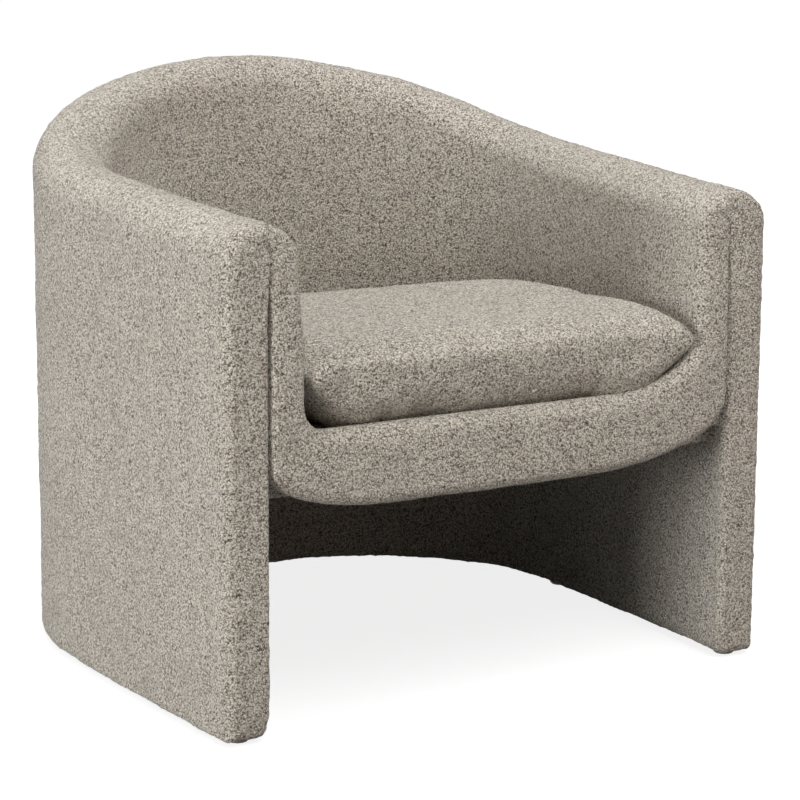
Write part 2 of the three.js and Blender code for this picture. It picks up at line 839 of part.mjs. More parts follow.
function bandSteps() {
  const half = topThickness(frontStation) / 2;
  const topAngle = rollTopAt(wallThickness + bandTopGap);
  const steps = [];
  for (let i = 0; i <= cornerSteps; i++) {
    const angle = THREE.MathUtils.lerp(topAngle, 0, i / cornerSteps);
    const z = rollBase(frontStation) + rollHeight * Math.sin(angle);
    steps.push([frontCreaseX, z, frontHalf - half - half * Math.cos(angle), z]);
  }
  const seatX = frontHalf - bucketThickness;
  for (const z of [bandFadeTopHeight, leanStart, bandFadeLowHeight]) {
    const lean = THREE.MathUtils.mapLinear(Math.max(z, leanStart), rollBase(frontStation), leanStart, 0, 1);
    const inset = THREE.MathUtils.lerp(topThickness(frontStation), bucketThickness, lean);
    steps.push([frontCreaseX, z, frontHalf - inset, z]);
  }
  for (let i = 0; i <= cornerSteps; i++) {
    const angle = (Math.PI / 2) * (i / cornerSteps);
    steps.push([
      frontCreaseX - railCornerReach * (1 - Math.cos(angle)),
      railBottom + railCornerHeight * (1 - Math.sin(angle)),
      seatX - railInnerReach * (1 - Math.cos(angle)),
      railTop + railInnerHeight * (1 - Math.sin(angle)),
    ]);
  }
  const mirrored = steps.map(([x, z, u, v]) => [-x, z, -u, v]).reverse();
  const railSteps = [];
  for (let i = 1; i < railSpans; i++) {
    const across = 1 - (2 * i) / railSpans;
    railSteps.push([across * (frontCreaseX - railCornerReach), railBottom, across * (seatX - railInnerReach), railTop]);
  }
  return [...steps, ...railSteps, ...mirrored];
}

function bandSection([x, z, u, v], depth) {
  const width = Math.hypot(u - x, v - z);
  const bow = bandBow * ((x + u) / 2 / frontHalf) ** 2;
  const fade = THREE.MathUtils.smoothstep((z + v) / 2, bandFadeLowHeight, bandFadeTopHeight);
  const frontY = bandFrontY + THREE.MathUtils.lerp(bow, bandProud, fade) + depth;
  const widthLimit = (width - 2 * depth) * bandWidthShare;
  const depthLimit = (wallFrontY - frontY) * bandDepthShare;
  const edge = Math.min(bandEdgeRadius - depth, widthLimit, depthLimit);
  const near = [[depth, wallFrontY]];
  for (let i = 0; i <= edgeSteps; i++) {
    const angle = (Math.PI / 2) * (i / edgeSteps);
    near.push([depth + edge * (1 - Math.cos(angle)), frontY + edge * (1 - Math.sin(angle))]);
  }
  const far = near.map(([along, y]) => [width - along, y]);
  return [...near, ...far.reverse()];
}

function bandCoverSection(step) {
  return [...bandSection(step, 0), ...bandSection(step, fabricThickness).reverse()];
}

function band(section) {
  return loft(bandSteps().map((step) => {
    const [x, z, u, v] = step;
    const crease = new THREE.Vector2(x, z);
    const across = new THREE.Vector2(u, v).sub(crease).normalize();
    const outline = section(step).map(([along, y]) => new THREE.Vector2(along, y));
    const points = outline.map((p) => {
      const spot = crease.clone().addScaledVector(across, p.x);
      return new THREE.Vector3(spot.x, p.y, spot.y);
    });
    return { outline, points };
  }));
}

addPiece('band_cover', band(bandCoverSection), 'fabric');
addPiece('band_pad', band((step) => bandSection(step, innerFabric)), 'foam');

// Loose cushion: a pillow with one seam round it, drawn to a point at its front corners

const cushionFrontY = bandFrontY + cushionFrontSetback;
const cushionInset = bucketThickness + cushionSideGap;
const cushionBackY = backY - cushionInset;
const cushionBottom = deckTop + seatGap;
const frontHalfWidth = reachAt(cushionInset, cushionFrontY);

function frontEdgeY(x) {
  return cushionFrontY + cushionFrontBow * (x / frontHalfWidth) ** 2;
}

function cushionSides(shrink) {
  return stations.map((s) => placeAt(s, cushionInset + shrink));
}

function cushionPlan(shrink) {
  const halfWidth = frontHalfWidth - shrink;
  const frontEdge = [];
  for (let i = 0; i <= cushionFrontSteps; i++) {
    const x = halfWidth * Math.sin(Math.PI * (i / cushionFrontSteps - 1 / 2));
    frontEdge.push(new THREE.Vector2(x, frontEdgeY(x) + shrink));
  }
  return [...frontEdge, ...cushionSides(shrink).reverse()];
}

function distanceToLine(spot, line) {
  let least = Infinity;
  for (let i = 0; i + 1 < line.length; i++) {
    const along = line[i + 1].clone().sub(line[i]);
    const share = THREE.MathUtils.clamp(spot.clone().sub(line[i]).dot(along) / along.lengthSq(), 0, 1);
    least = Math.min(least, line[i].clone().addScaledVector(along, share).distanceTo(spot));
  }
  return least;
}

function fullness(distance, reach, power) {
  return (1 - (1 - Math.min(1, distance / reach)) ** 2) ** power;
}

// How full the pillow is at a spot, from 0 at the seam to 1 well inside. Each face has its
// roll at the front and its own taper at the two front corners: the right one is drawn out to
// a point, and the left one is tucked against the arm. Further back both sides are alike.
const topShape = {
  roll: [topRollReach, topRollPower],
  right: [pointedTopTaper, pointedTopPower],
  left: [tuckedTopTaper, tuckedTopPower],
};
const underShape = {
  roll: [underRollReach, underRollPower],
  right: [pointedUnderTaper, pointedUnderPower],
  left: [tuckedUnderTaper, tuckedUnderPower],
};

function pillowFullness(spot, sides, shrink, shape) {
  const fromFront = Math.max(0, spot.y - frontEdgeY(spot.x) - shrink);
  const lineToFront = [new THREE.Vector2(sides[0].x, cushionFrontY), ...sides];
  lineToFront.push(new THREE.Vector2(sides[sides.length - 1].x, cushionFrontY));
  const fromSide = distanceToLine(spot, lineToFront);
  const backness = THREE.MathUtils.smoothstep(fromFront, cornerZoneStart, cornerZoneEnd);
  const [taper, power] = spot.x > 0 ? shape.right : shape.left;
  const reach = THREE.MathUtils.lerp(taper, sideTaper, backness);
  const roundness = THREE.MathUtils.lerp(power, sideRoundPower, backness);
  return fullness(fromFront, ...shape.roll) * fullness(fromSide, reach, roundness);
}

// The top and the seam both go down towards the back
function backFallAt(spot) {
  return THREE.MathUtils.smoothstep(spot.y, backFallStart, cushionBackY);
}

function seamAt(spot) {
  return cushionSeam - seamBackFall * backFallAt(spot);
}

function cushionBody(depth) {
  const shrink = depth * cushionEdgeRatio;
  const plan = cushionPlan(shrink);
  const sides = cushionSides(shrink);
  const centre = new THREE.Vector2(0, (cushionFrontY + cushionBackY) / 2);
  const positions = [];
  const indices = [];
  for (const spot of plan) {
    positions.push(spot.x, spot.y, seamAt(spot));
  }
  const topZ = (spot) => {
    const full = pillowFullness(spot, sides, shrink, topShape);
    const crown = cushionTop - cushionBackFall * backFallAt(spot) - depth;
    return THREE.MathUtils.lerp(seamAt(spot), crown, full);
  };
  const bottomZ = (spot) => {
    const full = pillowFullness(spot, sides, shrink, underShape);
    const sag = (seamAt(spot) - cushionBottom - depth) * undersideFlatShare * full;
    return Math.max(cushionBottom + depth, seamAt(spot) - sag);
  };
  for (const height of [topZ, bottomZ]) {
    let outer = 0;
    for (const share of cushionRingShares) {
      const inner = positions.length / 3;
      for (const spot of plan) {
        const inside = centre.clone().lerp(spot, share);
        positions.push(inside.x, inside.y, height(inside));
      }
      for (let k = 0; k < plan.length; k++) {
        const next = (k + 1) % plan.length;
        const faces = [outer + k, outer + next, inner + next, outer + k, inner + next, inner + k];
        indices.push(...(height === topZ ? faces : faces.reverse()));
      }
      outer = inner;
    }
    const middle = positions.length / 3;
    positions.push(centre.x, centre.y, height(centre));
    for (let k = 0; k < plan.length; k++) {
      const next = (k + 1) % plan.length;
      const face = [outer + k, outer + next, middle];
      indices.push(...(height === topZ ? face : face.reverse()));
    }
  }
  return closedGeometry(positions, indices);
}

// The zip lies in the underside, towards the back
const zipY = cushionBackY - zipSetback;
const zipTop = cushionBottom + fabricThickness;
const tapeBottom = zipTop - zipTapeThickness;
const sliderTop = tapeBottom - seatGap;
const sliderStartX = -zipLength / 2 + zipEndStop;
const zipSlot = block(
  -zipLength / 2, zipLength / 2, zipY - zipWidth / 2, zipY + zipWidth / 2,
  cushionBottom - cutOverrun, zipTop + seatGap / 2,
);
addPiece('cushion_cover', cut(cushionBody(0), cushionBody(fabricThickness), zipSlot), 'fabric');
addPiece('cushion_core', cushionBody(innerFabric), 'foam');
addPiece(
  'cushion_zip_tape',
  block(
    seatGap - zipLength / 2, zipLength / 2 - seatGap,
    zipY - zipWidth / 2 + seatGap, zipY + zipWidth / 2 - seatGap, tapeBottom, zipTop,
  ),
  'zip',
);
addPiece(
  'cushion_zip_slider',
  block(
    sliderStartX, sliderStartX + sliderLength,
    zipY - sliderWidth / 2, zipY + sliderWidth / 2, sliderTop - sliderThickness, sliderTop,
  ),
  'steel',
);

// Glides with their nails, which are driven into the base rib
const glideTop = floorGap - seatGap;
const nailTop = glideTop + nailLength;
const frontGlideRun = runAtDepth(legFrontY + frontGlideSetback);
const sideGlideRun = runAtDepth(curveStartY + sideGlideBehind);
const glideRuns = [
  ['front_left', 1 - frontGlideRun],
  ['side_left', 1 - sideGlideRun],
  ['back', 0.5],
  ['side_right', sideGlideRun],
  ['front_right', frontGlideRun],
];

function standUpright(geometry, spot, z) {
  geometry.rotateX(Math.PI / 2);
  geometry.translate(spot.x, spot.y, z);
  return geometry;
}

function glide(spot) {
  const profile = [
    [0, 0],
    [glideRadius - glideBevel, 0],
    [glideRadius, glideBevel],
    [glideRadius, glideTop],
    [nailRadius, glideTop],
    [nailRadius, nailTop - nailPoint],
    [0, nailTop],
  ];
  const lathe = new THREE.LatheGeometry(profile.map(([x, y]) => new THREE.Vector2(x, y)), roundSides);
  return standUpright(lathe, spot, 0);
}

const nailHoles = [];
for (const [place, run] of glideRuns) {
  const spot = placeAt(stationAt(run), wallThickness / 2);
  addPiece(`glide_${place}`, glide(spot), 'glide');
  const holeHeight = nailTop + seatGap;
  const hole = new THREE.CylinderGeometry(nailRadius + seatGap, nailRadius + seatGap, holeHeight, roundSides);
  nailHoles.push(standUpright(hole, spot, holeHeight / 2));
}
addPiece('base_rib', cut(baseRibBody, ...nailHoles), 'plywood');

export default chair;
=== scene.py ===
"""Looks of an upholstered tub chair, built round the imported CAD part.

Sizes are in millimetres, meshes in metres.
"""

import json
import math

import bmesh
import bpy
import numpy as np
from mathutils import Matrix, Vector


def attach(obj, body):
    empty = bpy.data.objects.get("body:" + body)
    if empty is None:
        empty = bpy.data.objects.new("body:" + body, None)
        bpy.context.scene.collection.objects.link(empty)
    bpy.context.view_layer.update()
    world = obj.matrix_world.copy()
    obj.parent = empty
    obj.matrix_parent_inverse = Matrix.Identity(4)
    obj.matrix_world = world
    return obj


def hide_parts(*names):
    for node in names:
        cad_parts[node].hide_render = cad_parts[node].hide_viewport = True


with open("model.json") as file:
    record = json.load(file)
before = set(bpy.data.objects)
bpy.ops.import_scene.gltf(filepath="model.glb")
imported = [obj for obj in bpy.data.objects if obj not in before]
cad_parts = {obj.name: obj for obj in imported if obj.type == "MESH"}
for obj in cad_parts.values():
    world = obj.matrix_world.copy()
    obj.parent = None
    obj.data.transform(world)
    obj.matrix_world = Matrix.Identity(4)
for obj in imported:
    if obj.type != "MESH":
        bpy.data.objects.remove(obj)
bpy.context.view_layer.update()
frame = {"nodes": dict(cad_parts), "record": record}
nodes = frame["nodes"]

MM = 0.001

# Plan of the wall, as in the solids
HALF_WIDTH = 400.0
BACK_Y = 386.0
BAND_FRONT_Y = -386.0
LEG_FRONT_Y = -378.0
WALL_FRONT_Y = -365.0
CURVE_START_Y = 18.0
SIDE_RUN = 396.0
TOE_IN = 10.5
CORNER_POWER = 2.44
CORNER_SWELL = 0.2

# Heights of the wall: its arms are 2.5 mm higher than in the solids. RISES are even steps from arm to back,
# as shares of the difference, with one step past each end
ARM_HEIGHT = 614.5
BACK_HEIGHT = 749.0
RISES = [-0.12, 0.0, 0.102, 0.276, 0.761, 1.0, 0.761]

# Section of the wall: thickness below and at the seat, width of the top roll, round lower edges
WALL = 59.4
BUCKET = 108.0
ARM_TOP = 102.0
BACK_TOP = 88.0
THINNING_END = 0.7
ROLL = 44.0
LEAN_END = 460.0
FLOOR_GAP = 5.0
OUTER_EDGE = 8.0
INNER_EDGE = 17.0

# Deck, front rail and band
DECK_TOP = 360.0
DECK_BOTTOM = 345.1
BUCKET_BOTTOM = 344.4
RAIL_BOTTOM = 266.0
RAIL_TOP = 368.5
RAIL_CORNER = (185.0, 64.0)
BAND_BOW = 6.0
BAND_FADE = (430.0, 540.0)
CREASE_FADE = (490.0, 575.0)
CLOSED_CREASE = 0.6
SEAT_ROLL = 19.0
BACKING = 1.5

# Cloth behind the front rail, dust sheet and zip
RAIL_LINING_TOP = 331.0
RAIL_LINING_LOW, RAIL_LINING_END = 289.8, 310.0
RAIL_LINING_BACK_Y = -337.8
DUST_SHEET_Z = 284.6
ZIP_Y, ZIP_HALF, ZIP_TAPE_Z = 181.5, 169.7, 361.95

TINY = 1e-12

# Points of a mesh that lie closer than this, in metres, become one
MERGE = 1e-6


def smoothstep(value, low, high):
    """0 up to low, 1 from high on, and a smooth rise between them."""
    t = np.clip((np.asarray(value, float) - low) / (high - low), 0, 1)
    return t * t * (3 - 2 * t)


def lerp(a, b, t):
    """What lies a share t of the way from a to b."""
    return a + (b - a) * t


# Run of the wall, as in the solids but in finer steps


def top_height(share):
    """Height of the wall's top at a share of the way from arm to back, a smooth curve through RISES."""
    along = np.clip(share, 0, 1) * (len(RISES) - 3) + 1
    low = np.minimum(np.floor(along).astype(int), len(RISES) - 2)
    t = along - low
    points = np.array(RISES)
    p0, p1, p2 = points[low - 1], points[low], points[low + 1]
    p3 = points[np.minimum(low + 2, len(RISES) - 1)]
    v0, v1 = (p2 - p0) / 2, (p3 - p1) / 2
    rise = (2 * p1 - 2 * p2 + v0 + v1) * t**3 + (-3 * p1 + 3 * p2 - 2 * v0 - v1) * t**2 + v0 * t + p1
    return ARM_HEIGHT + (BACK_HEIGHT - ARM_HEIGHT) * rise


def plan_line(samples=500):
    """Outer line of the wall in plan, from the left front round the back to the right front."""
    y = np.linspace(WALL_FRONT_Y, CURVE_START_Y, samples, endpoint=False)
    side = np.stack([HALF_WIDTH - TOE_IN * ((CURVE_START_Y - y) / SIDE_RUN) ** 2, y], 1)
    angle = np.linspace(0, math.pi / 2, samples + 1)
    power = 2 / CORNER_POWER
    x = HALF_WIDTH * np.abs(np.cos(angle)) ** power
    x[-1] = 0
    curve = np.stack([x, CURVE_START_Y + (BACK_Y - CURVE_START_Y) * np.sin(angle) ** power], 1)
    right = np.vstack([side, curve])
    left = right[:-1] * [-1, 1]
    return np.vstack([left, right[::-1]])


class Wall:
    """Places on the wall's outer line, each with its inward direction, share from front to back and top."""

    def __init__(self, steps):
        line = plan_line()
        length = np.concatenate([[0], np.cumsum(np.linalg.norm(np.diff(line, axis=0), axis=1))])
        total = length[-1]
        run = np.linspace(0, total, steps + 1)
        self.place = np.stack([np.interp(run, length, line[:, i]) for i in (0, 1)], 1)
        x, y = self.place.T
        inward = np.stack([-np.sign(x), np.zeros_like(x)], 1)
        curved = y > CURVE_START_Y
        half_depth = BACK_Y - CURVE_START_Y
        normal = np.stack([
            -np.sign(x) * (np.abs(x) / HALF_WIDTH) ** (CORNER_POWER - 1) / HALF_WIDTH,
            -(np.maximum(y - CURVE_START_Y, 0) / half_depth) ** (CORNER_POWER - 1) / half_depth,
        ], 1)
        normal /= np.maximum(np.linalg.norm(normal, axis=1, keepdims=True), TINY)
        bend = 2 * np.abs(normal[:, 0] * normal[:, 1])
        normal *= (1 + CORNER_SWELL * bend**2)[:, None]
        inward[curved] = normal[curved]
        self.inward = inward
        depth = LEG_FRONT_Y - WALL_FRONT_Y
        self.share = (np.minimum(run, total - run) - depth) / (total / 2 - depth)
        self.top = top_height(self.share)
        self.thick = lerp(ARM_TOP, BACK_TOP, smoothstep(self.share, 0, THINNING_END))


def add_mesh(name, points, faces, body="chair", smooth=True):
    """A mesh object from points in millimetres, riding on a body."""
    mesh = bpy.data.meshes.new(name)
    places = [tuple(p) for p in np.asarray(points, float) * MM]
    mesh.from_pydata(places, [], [tuple(int(i) for i in f) for f in faces])
    work = bmesh.new()
    work.from_mesh(mesh)
    bmesh.ops.remove_doubles(work, verts=work.verts, dist=MERGE)
    bmesh.ops.recalc_face_normals(work, faces=work.faces)
    work.to_mesh(mesh)
    work.free()
    mesh.polygons.foreach_set("use_smooth", [smooth] * len(mesh.polygons))
    mesh.update()
    obj = bpy.data.objects.new(name, mesh)
    bpy.context.scene.collection.objects.link(obj)
    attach(obj, body)
    return obj


def grid_faces(rows, columns, wrap_columns=False, start=0):
    """Four-sided faces between rows of points, which close to a ring if the columns wrap."""
    faces = []
    last = columns if wrap_columns else columns - 1
    for r in range(rows - 1):
        for c in range(last):
            d = (c + 1) % columns
            a = start + r * columns
            b = a + columns
            faces.append((a + c, a + d, b + d, b + c))
    return faces


def coordinates(obj):
    """Places of a mesh's points, in metres."""
    values = np.zeros(len(obj.data.vertices) * 3)
    obj.data.vertices.foreach_get("co", values)
    return values.reshape(-1, 3)


def normals(obj):
    """Directions that a mesh's points face."""
    values = np.zeros(len(obj.data.vertices) * 3)
    obj.data.vertices.foreach_get("normal", values)
    return values.reshape(-1, 3)


def move_to(obj, points):
    """Gives a mesh's points new places, in metres."""
    obj.data.vertices.foreach_set("co", points.ravel())
    obj.data.update()


# Soft irregularity of stuffed cloth, as a sum of seeded waves in space


class Waves:
    """A smooth seeded noise of about the given wavelength in millimetres."""

    def __init__(self, size, count=28, seed=1):
        draw = np.random.default_rng(seed)
        direction = draw.normal(size=(count, 3))
        direction /= np.linalg.norm(direction, axis=1, keepdims=True)
        self.k = direction * (2 * math.pi / (size * draw.uniform(0.7, 1.5, count)))[:, None]
        self.phase = draw.uniform(0, 2 * math.pi, count)
        self.scale = math.sqrt(2 / count)

    def __call__(self, points):
        return np.sin(np.asarray(points) @ self.k.T + self.phase).sum(1) * self.scale


soft_lumps = Waves(85, seed=3)
fine_lumps = Waves(16, count=40, seed=5)
loop_lumps = Waves(7.5, count=48, seed=11)


def roughen(obj, soft=0.4, fine=0.2, loops=0.3, hold=None):
    """Moves a mesh's points along their normals by a fraction of a millimetre, as looped cloth does."""
    co = coordinates(obj)
    spots = co / MM
    shift = soft * soft_lumps(spots) + fine * fine_lumps(spots) + loops * loop_lumps(spots)
    if hold is not None:
        shift = shift * hold(spots)
    move_to(obj, co + normals(obj) * (shift * MM)[:, None])


# Wall: outer side, top roll, inside of the bucket and inner side of the legs in one skin

WALL_STEPS = 430

# Cloth is smooth near a front's edge, so that the pieces meet: behind the fronts, and in front of the wall
SMOOTH_BEHIND = 25.0
SMOOTH_BEFORE = 5.0


def arc(centre, radius_x, radius_z, start, end, count):
    """Points along an arc of an ellipse, between two angles in degrees."""
    angle = np.linspace(math.radians(start), math.radians(end), count)
    return np.stack([centre[0] + radius_x * np.cos(angle), centre[1] + radius_z * np.sin(angle)], 1)


def straight(a, b, count):
    """Points along a straight line, with both its ends."""
    t = np.linspace(0, 1, count)[:, None]
    return np.array(a) * (1 - t) + np.array(b) * t


def wall_outline(top, thick):
    """Closed outline of the wall at one place, as points (inset, height).

    It goes up the outside, over the top and down the inside. Each piece ends with its count of points.
    """
    roll_z = top - ROLL
    half = thick / 2
    lean = np.linspace(0, 1, 34)
    lean_z = lerp(roll_z, LEAN_END, lean)
    lean_inset = lerp(thick, BUCKET, smoothstep(lean, 0, 1))
    pieces = [
        arc((OUTER_EDGE, FLOOR_GAP + OUTER_EDGE), OUTER_EDGE, OUTER_EDGE, 270, 180, 6),
        straight((0, FLOOR_GAP + OUTER_EDGE), (0, roll_z), 118)[1:-1],
        arc((half, roll_z), half, ROLL, 180, 0, 35)[:-1],
        np.stack([lean_inset, lean_z], 1),
        straight((BUCKET, LEAN_END), (BUCKET, BUCKET_BOTTOM), 18)[1:],
        straight((BUCKET, BUCKET_BOTTOM), (WALL, BUCKET_BOTTOM), 4)[1:],
        straight((WALL, BUCKET_BOTTOM), (WALL, FLOOR_GAP + INNER_EDGE), 46)[1:-1],
        arc((WALL - INNER_EDGE, FLOOR_GAP + INNER_EDGE), INNER_EDGE, INNER_EDGE, 0, -90, 9),
        straight((WALL - INNER_EDGE, FLOOR_GAP), (OUTER_EDGE, FLOOR_GAP), 6)[1:-1],
    ]
    return np.vstack(pieces)


def build_wall():
    """The wall's skin, from one arm's front round the back to the other's."""
    wall = Wall(WALL_STEPS)
    rings = []
    for i in range(WALL_STEPS + 1):
        outline = wall_outline(wall.top[i], wall.thick[i])
        spot = wall.place[i] + outline[:, :1] * wall.inward[i]
        rings.append(np.column_stack([spot, outline[:, 1]]))
    columns = len(rings[0])
    points = np.vstack(rings)
    faces = grid_faces(WALL_STEPS + 1, columns, wrap_columns=True)
    faces.append(tuple(range(columns)))
    faces.append(tuple(range(WALL_STEPS * columns, (WALL_STEPS + 1) * columns)))
    obj = add_mesh("wall_upholstery", points, faces)
    roughen(obj, hold=lambda p: smoothstep(p[:, 1], WALL_FRONT_Y, WALL_FRONT_Y + SMOOTH_BEHIND))
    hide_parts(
        "outer_cover", "bucket_cover", "leg_inner_cover",
        "outer_pad", "roll_pad", "bucket_foam", "leg_inner_pad",
    )
    return obj


# Fronts: each is a flat region with a rounded edge, drawn as rows across it


def bulge(distance, radius, depth=None):
    """How far a front lies behind its plane beside a round edge, an ellipse if depth isn't the radius."""
    reach = np.minimum(distance, radius)
    fall = radius - np.sqrt(np.maximum(radius**2 - (radius - reach) ** 2, 0))
    return fall if depth is None else fall * depth / radius


def distance_to(points, line):
    """Least distance from each point to a polyline, both in the plane of the front."""
    best = np.full(len(points), np.inf)
    for a, b in zip(line[:-1], line[1:]):
        along = b - a
        size = float(along @ along)
        if size < TINY:
            continue
        t = np.clip(((points - a) @ along) / size, 0, 1)
        best = np.minimum(best, np.linalg.norm(points - a - t[:, None] * along, axis=1))
    return best


FRONT_HALF = HALF_WIDTH - TOE_IN * ((CURVE_START_Y - WALL_FRONT_Y) / SIDE_RUN) ** 2
CREASE_X = FRONT_HALF - WALL
PIVOT_Z = 580.0
LOW_ROWS = 12
FACING_CROWN, FACING_CROWN_REACH = 1.2, 28.0
FACING_CREASE = (5.5, 13.0)
LEG_ROWS, FACING_ROLL_ROWS, FACING_COLUMNS = 96, 26, 22


def across(first, second, count):
    """Points from one to another, closer together at both ends."""
    t = (1 - np.cos(np.linspace(0, math.pi, count))) / 2
    return first[None] * (1 - t[:, None]) + second[None] * t[:, None]


def closed_front(name, rows, y, back_y, mirror=False):
    """A front from rows of points (x, z) with a depth for each, closed by a flat back."""
    count, columns = rows.shape[:2]
    flat = rows.reshape(-1, 2)
    x = -flat[:, 0] if mirror else flat[:, 0]
    front = np.column_stack([x, y, flat[:, 1]])
    back = np.column_stack([x, np.full(len(flat), back_y), flat[:, 1]])
    points = np.vstack([front, back])
    offset = len(front)
    faces = grid_faces(count, columns)
    faces += [tuple(i + offset for i in f) for f in faces]
    edge = list(range(columns))
    edge += [r * columns + columns - 1 for r in range(1, count)]
    edge += [(count - 1) * columns + c for c in range(columns - 2, -1, -1)]
    edge += [r * columns for r in range(count - 2, 0, -1)]
    for a, b in zip(edge, edge[1:] + edge[:1]):
        faces.append((a, b, b + offset, a + offset))
    return add_mesh(name, points, faces)


def crease_fall(distance, z, width, depth):
    """Fall of a front into the crease, which closes towards the top of the arm."""
    fade = smoothstep(z, *CREASE_FADE)
    return bulge(distance, lerp(width, CLOSED_CREASE, fade), lerp(depth, CLOSED_CREASE, fade))


def hold_edge(points):
    """Keeps a front smooth where it meets the wall."""
    return smoothstep(WALL_FRONT_Y - points[:, 1], 0, SMOOTH_BEFORE)


def facing_rows():
    """Pairs of points (outer edge, crease) of a leg's and arm's front, from the floor to the arm's top."""
    rows = []
    low = FLOOR_GAP + INNER_EDGE * (1 - np.cos(np.linspace(0, math.pi / 2, LOW_ROWS)))
    for z in low:
        outer, inner = (
            radius - math.sqrt(radius**2 - max(0, FLOOR_GAP + radius - z) ** 2)
            for radius in (OUTER_EDGE, INNER_EDGE)
        )
        rows.append((np.array([FRONT_HALF - outer, z]), np.array([CREASE_X + inner, z])))
    for z in np.linspace(low[-1], ARM_HEIGHT - ROLL, LEG_ROWS)[1:]:
        rows.append((np.array([FRONT_HALF, z]), np.array([CREASE_X, z])))
    angles = np.linspace(0, math.acos(1 - WALL / (ARM_TOP / 2)), FACING_ROLL_ROWS)[1:]
    for i, angle in enumerate(angles):
        inset = ARM_TOP / 2 * (1 - math.cos(angle))
        z = ARM_HEIGHT - ROLL + ROLL * math.sin(angle)
        pivot = lerp(ARM_HEIGHT - ROLL, PIVOT_Z, (i + 1) / len(angles))
        rows.append((np.array([FRONT_HALF - inset, z]), np.array([CREASE_X, pivot])))
    return rows


def build_facing(side, mirror):
    """The padded front of a leg and its arm, on the right or mirrored to the left."""
    pairs = facing_rows()
    outer = np.array([p[0] for p in pairs])
    inner = np.array([p[1] for p in pairs])
    rows = np.array([across(a, b, FACING_COLUMNS) for a, b in pairs])
    flat = rows.reshape(-1, 2)
    depth = WALL_FRONT_Y - LEG_FRONT_Y
    base = np.array([inner[0], outer[0]])
    outline = np.vstack([base, outer])
    low_inner = inner[:LOW_ROWS]
    edge = np.minimum(distance_to(flat, outline), distance_to(flat, low_inner))
    to_crease = flat[:, 0] - CREASE_X
    fall = FACING_CROWN * (1 - np.clip(edge / FACING_CROWN_REACH, 0, 1))
    y = LEG_FRONT_Y + bulge(edge, depth) + crease_fall(to_crease, flat[:, 1], *FACING_CREASE) + fall
    y = np.minimum(y, WALL_FRONT_Y)
    obj = closed_front(f"facing_front_{side}", rows, y, WALL_FRONT_Y + BACKING, mirror)
    roughen(obj, soft=0.15, hold=hold_edge)
    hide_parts(f"facing_cover_{side}", f"facing_pad_{side}")
    return obj


# Each side of the band, which the photo shows unlike: its lower corner and its corner beside the seat,
# as (reach, height), and the height of its lower edge
RIGHT_CORNERS = ((215.0, 75.0), (128.0, 68.0), 270.5)
LEFT_CORNERS = ((170.0, 54.0), (25.0, 33.0), 269.5)

# The band's crown, and its crease as (width, depth) up the arms and along its lower edge
BAND_CROWN, BAND_CROWN_LOSS = 1.6, 1.2
ARM_CREASE, LOW_CREASE = (5.0, 15.0), (15.0, 17.0)
LOW_CREASE_FADE = (360.0, 300.0)

# Its rows over the roll, down the arm, round the corner and to the middle, how they spread down the
# crease of the arm, and its columns
BAND_ROLL_ROWS, BAND_ARM_ROWS, BAND_CORNER_ROWS, BAND_RAIL_ROWS = 22, 46, 26, 24
CREASE_SPREAD = 1.25
BAND_COLUMNS = 26


def band_side(low_corner, seat_corner, low):
    """One half of the band as pairs of points (crease, seat), from the top of the arm to the middle."""
    middle_low = (RIGHT_CORNERS[2] + LEFT_CORNERS[2]) / 2
    pairs = []
    half = ARM_TOP / 2
    start = math.acos(1 - WALL / half)
    angles = np.linspace(start, math.pi, BAND_ROLL_ROWS)
    for i, angle in enumerate(angles):
        inset = half * (1 - math.cos(angle))
        z = ARM_HEIGHT - ROLL + ROLL * math.sin(angle)
        pivot = lerp(PIVOT_Z, ARM_HEIGHT - ROLL, i / (len(angles) - 1))
        pairs.append(((CREASE_X, pivot), (FRONT_HALF - inset, z)))
    roll_z = ARM_HEIGHT - ROLL
    corner_top = low + low_corner[1]
    seat_low = RAIL_TOP + seat_corner[1]
    for t in np.linspace(0, 1, BAND_ARM_ROWS)[1:]:
        z = lerp(roll_z, seat_low, t)
        zc = lerp(roll_z, corner_top, t**CREASE_SPREAD)
        lean = float(smoothstep((roll_z - z) / (roll_z - LEAN_END), 0, 1))
        pairs.append(((CREASE_X, zc), (FRONT_HALF - lerp(ARM_TOP, BUCKET, lean), z)))
    seat_x = FRONT_HALF - BUCKET
    for angle in np.linspace(0, math.pi / 2, BAND_CORNER_ROWS)[1:]:
        c, s = math.cos(angle), math.sin(angle)
        pairs.append((
            (CREASE_X - low_corner[0] * (1 - c), low + low_corner[1] * (1 - s)),
            (seat_x - seat_corner[0] * (1 - c), RAIL_TOP + seat_corner[1] * (1 - s)),
        ))
    for t in np.linspace(1, 0, BAND_RAIL_ROWS)[1:]:
        edge = ((CREASE_X - low_corner[0]) * t, lerp(middle_low, low, t))
        pairs.append((edge, ((seat_x - seat_corner[0]) * t, RAIL_TOP)))
    return pairs


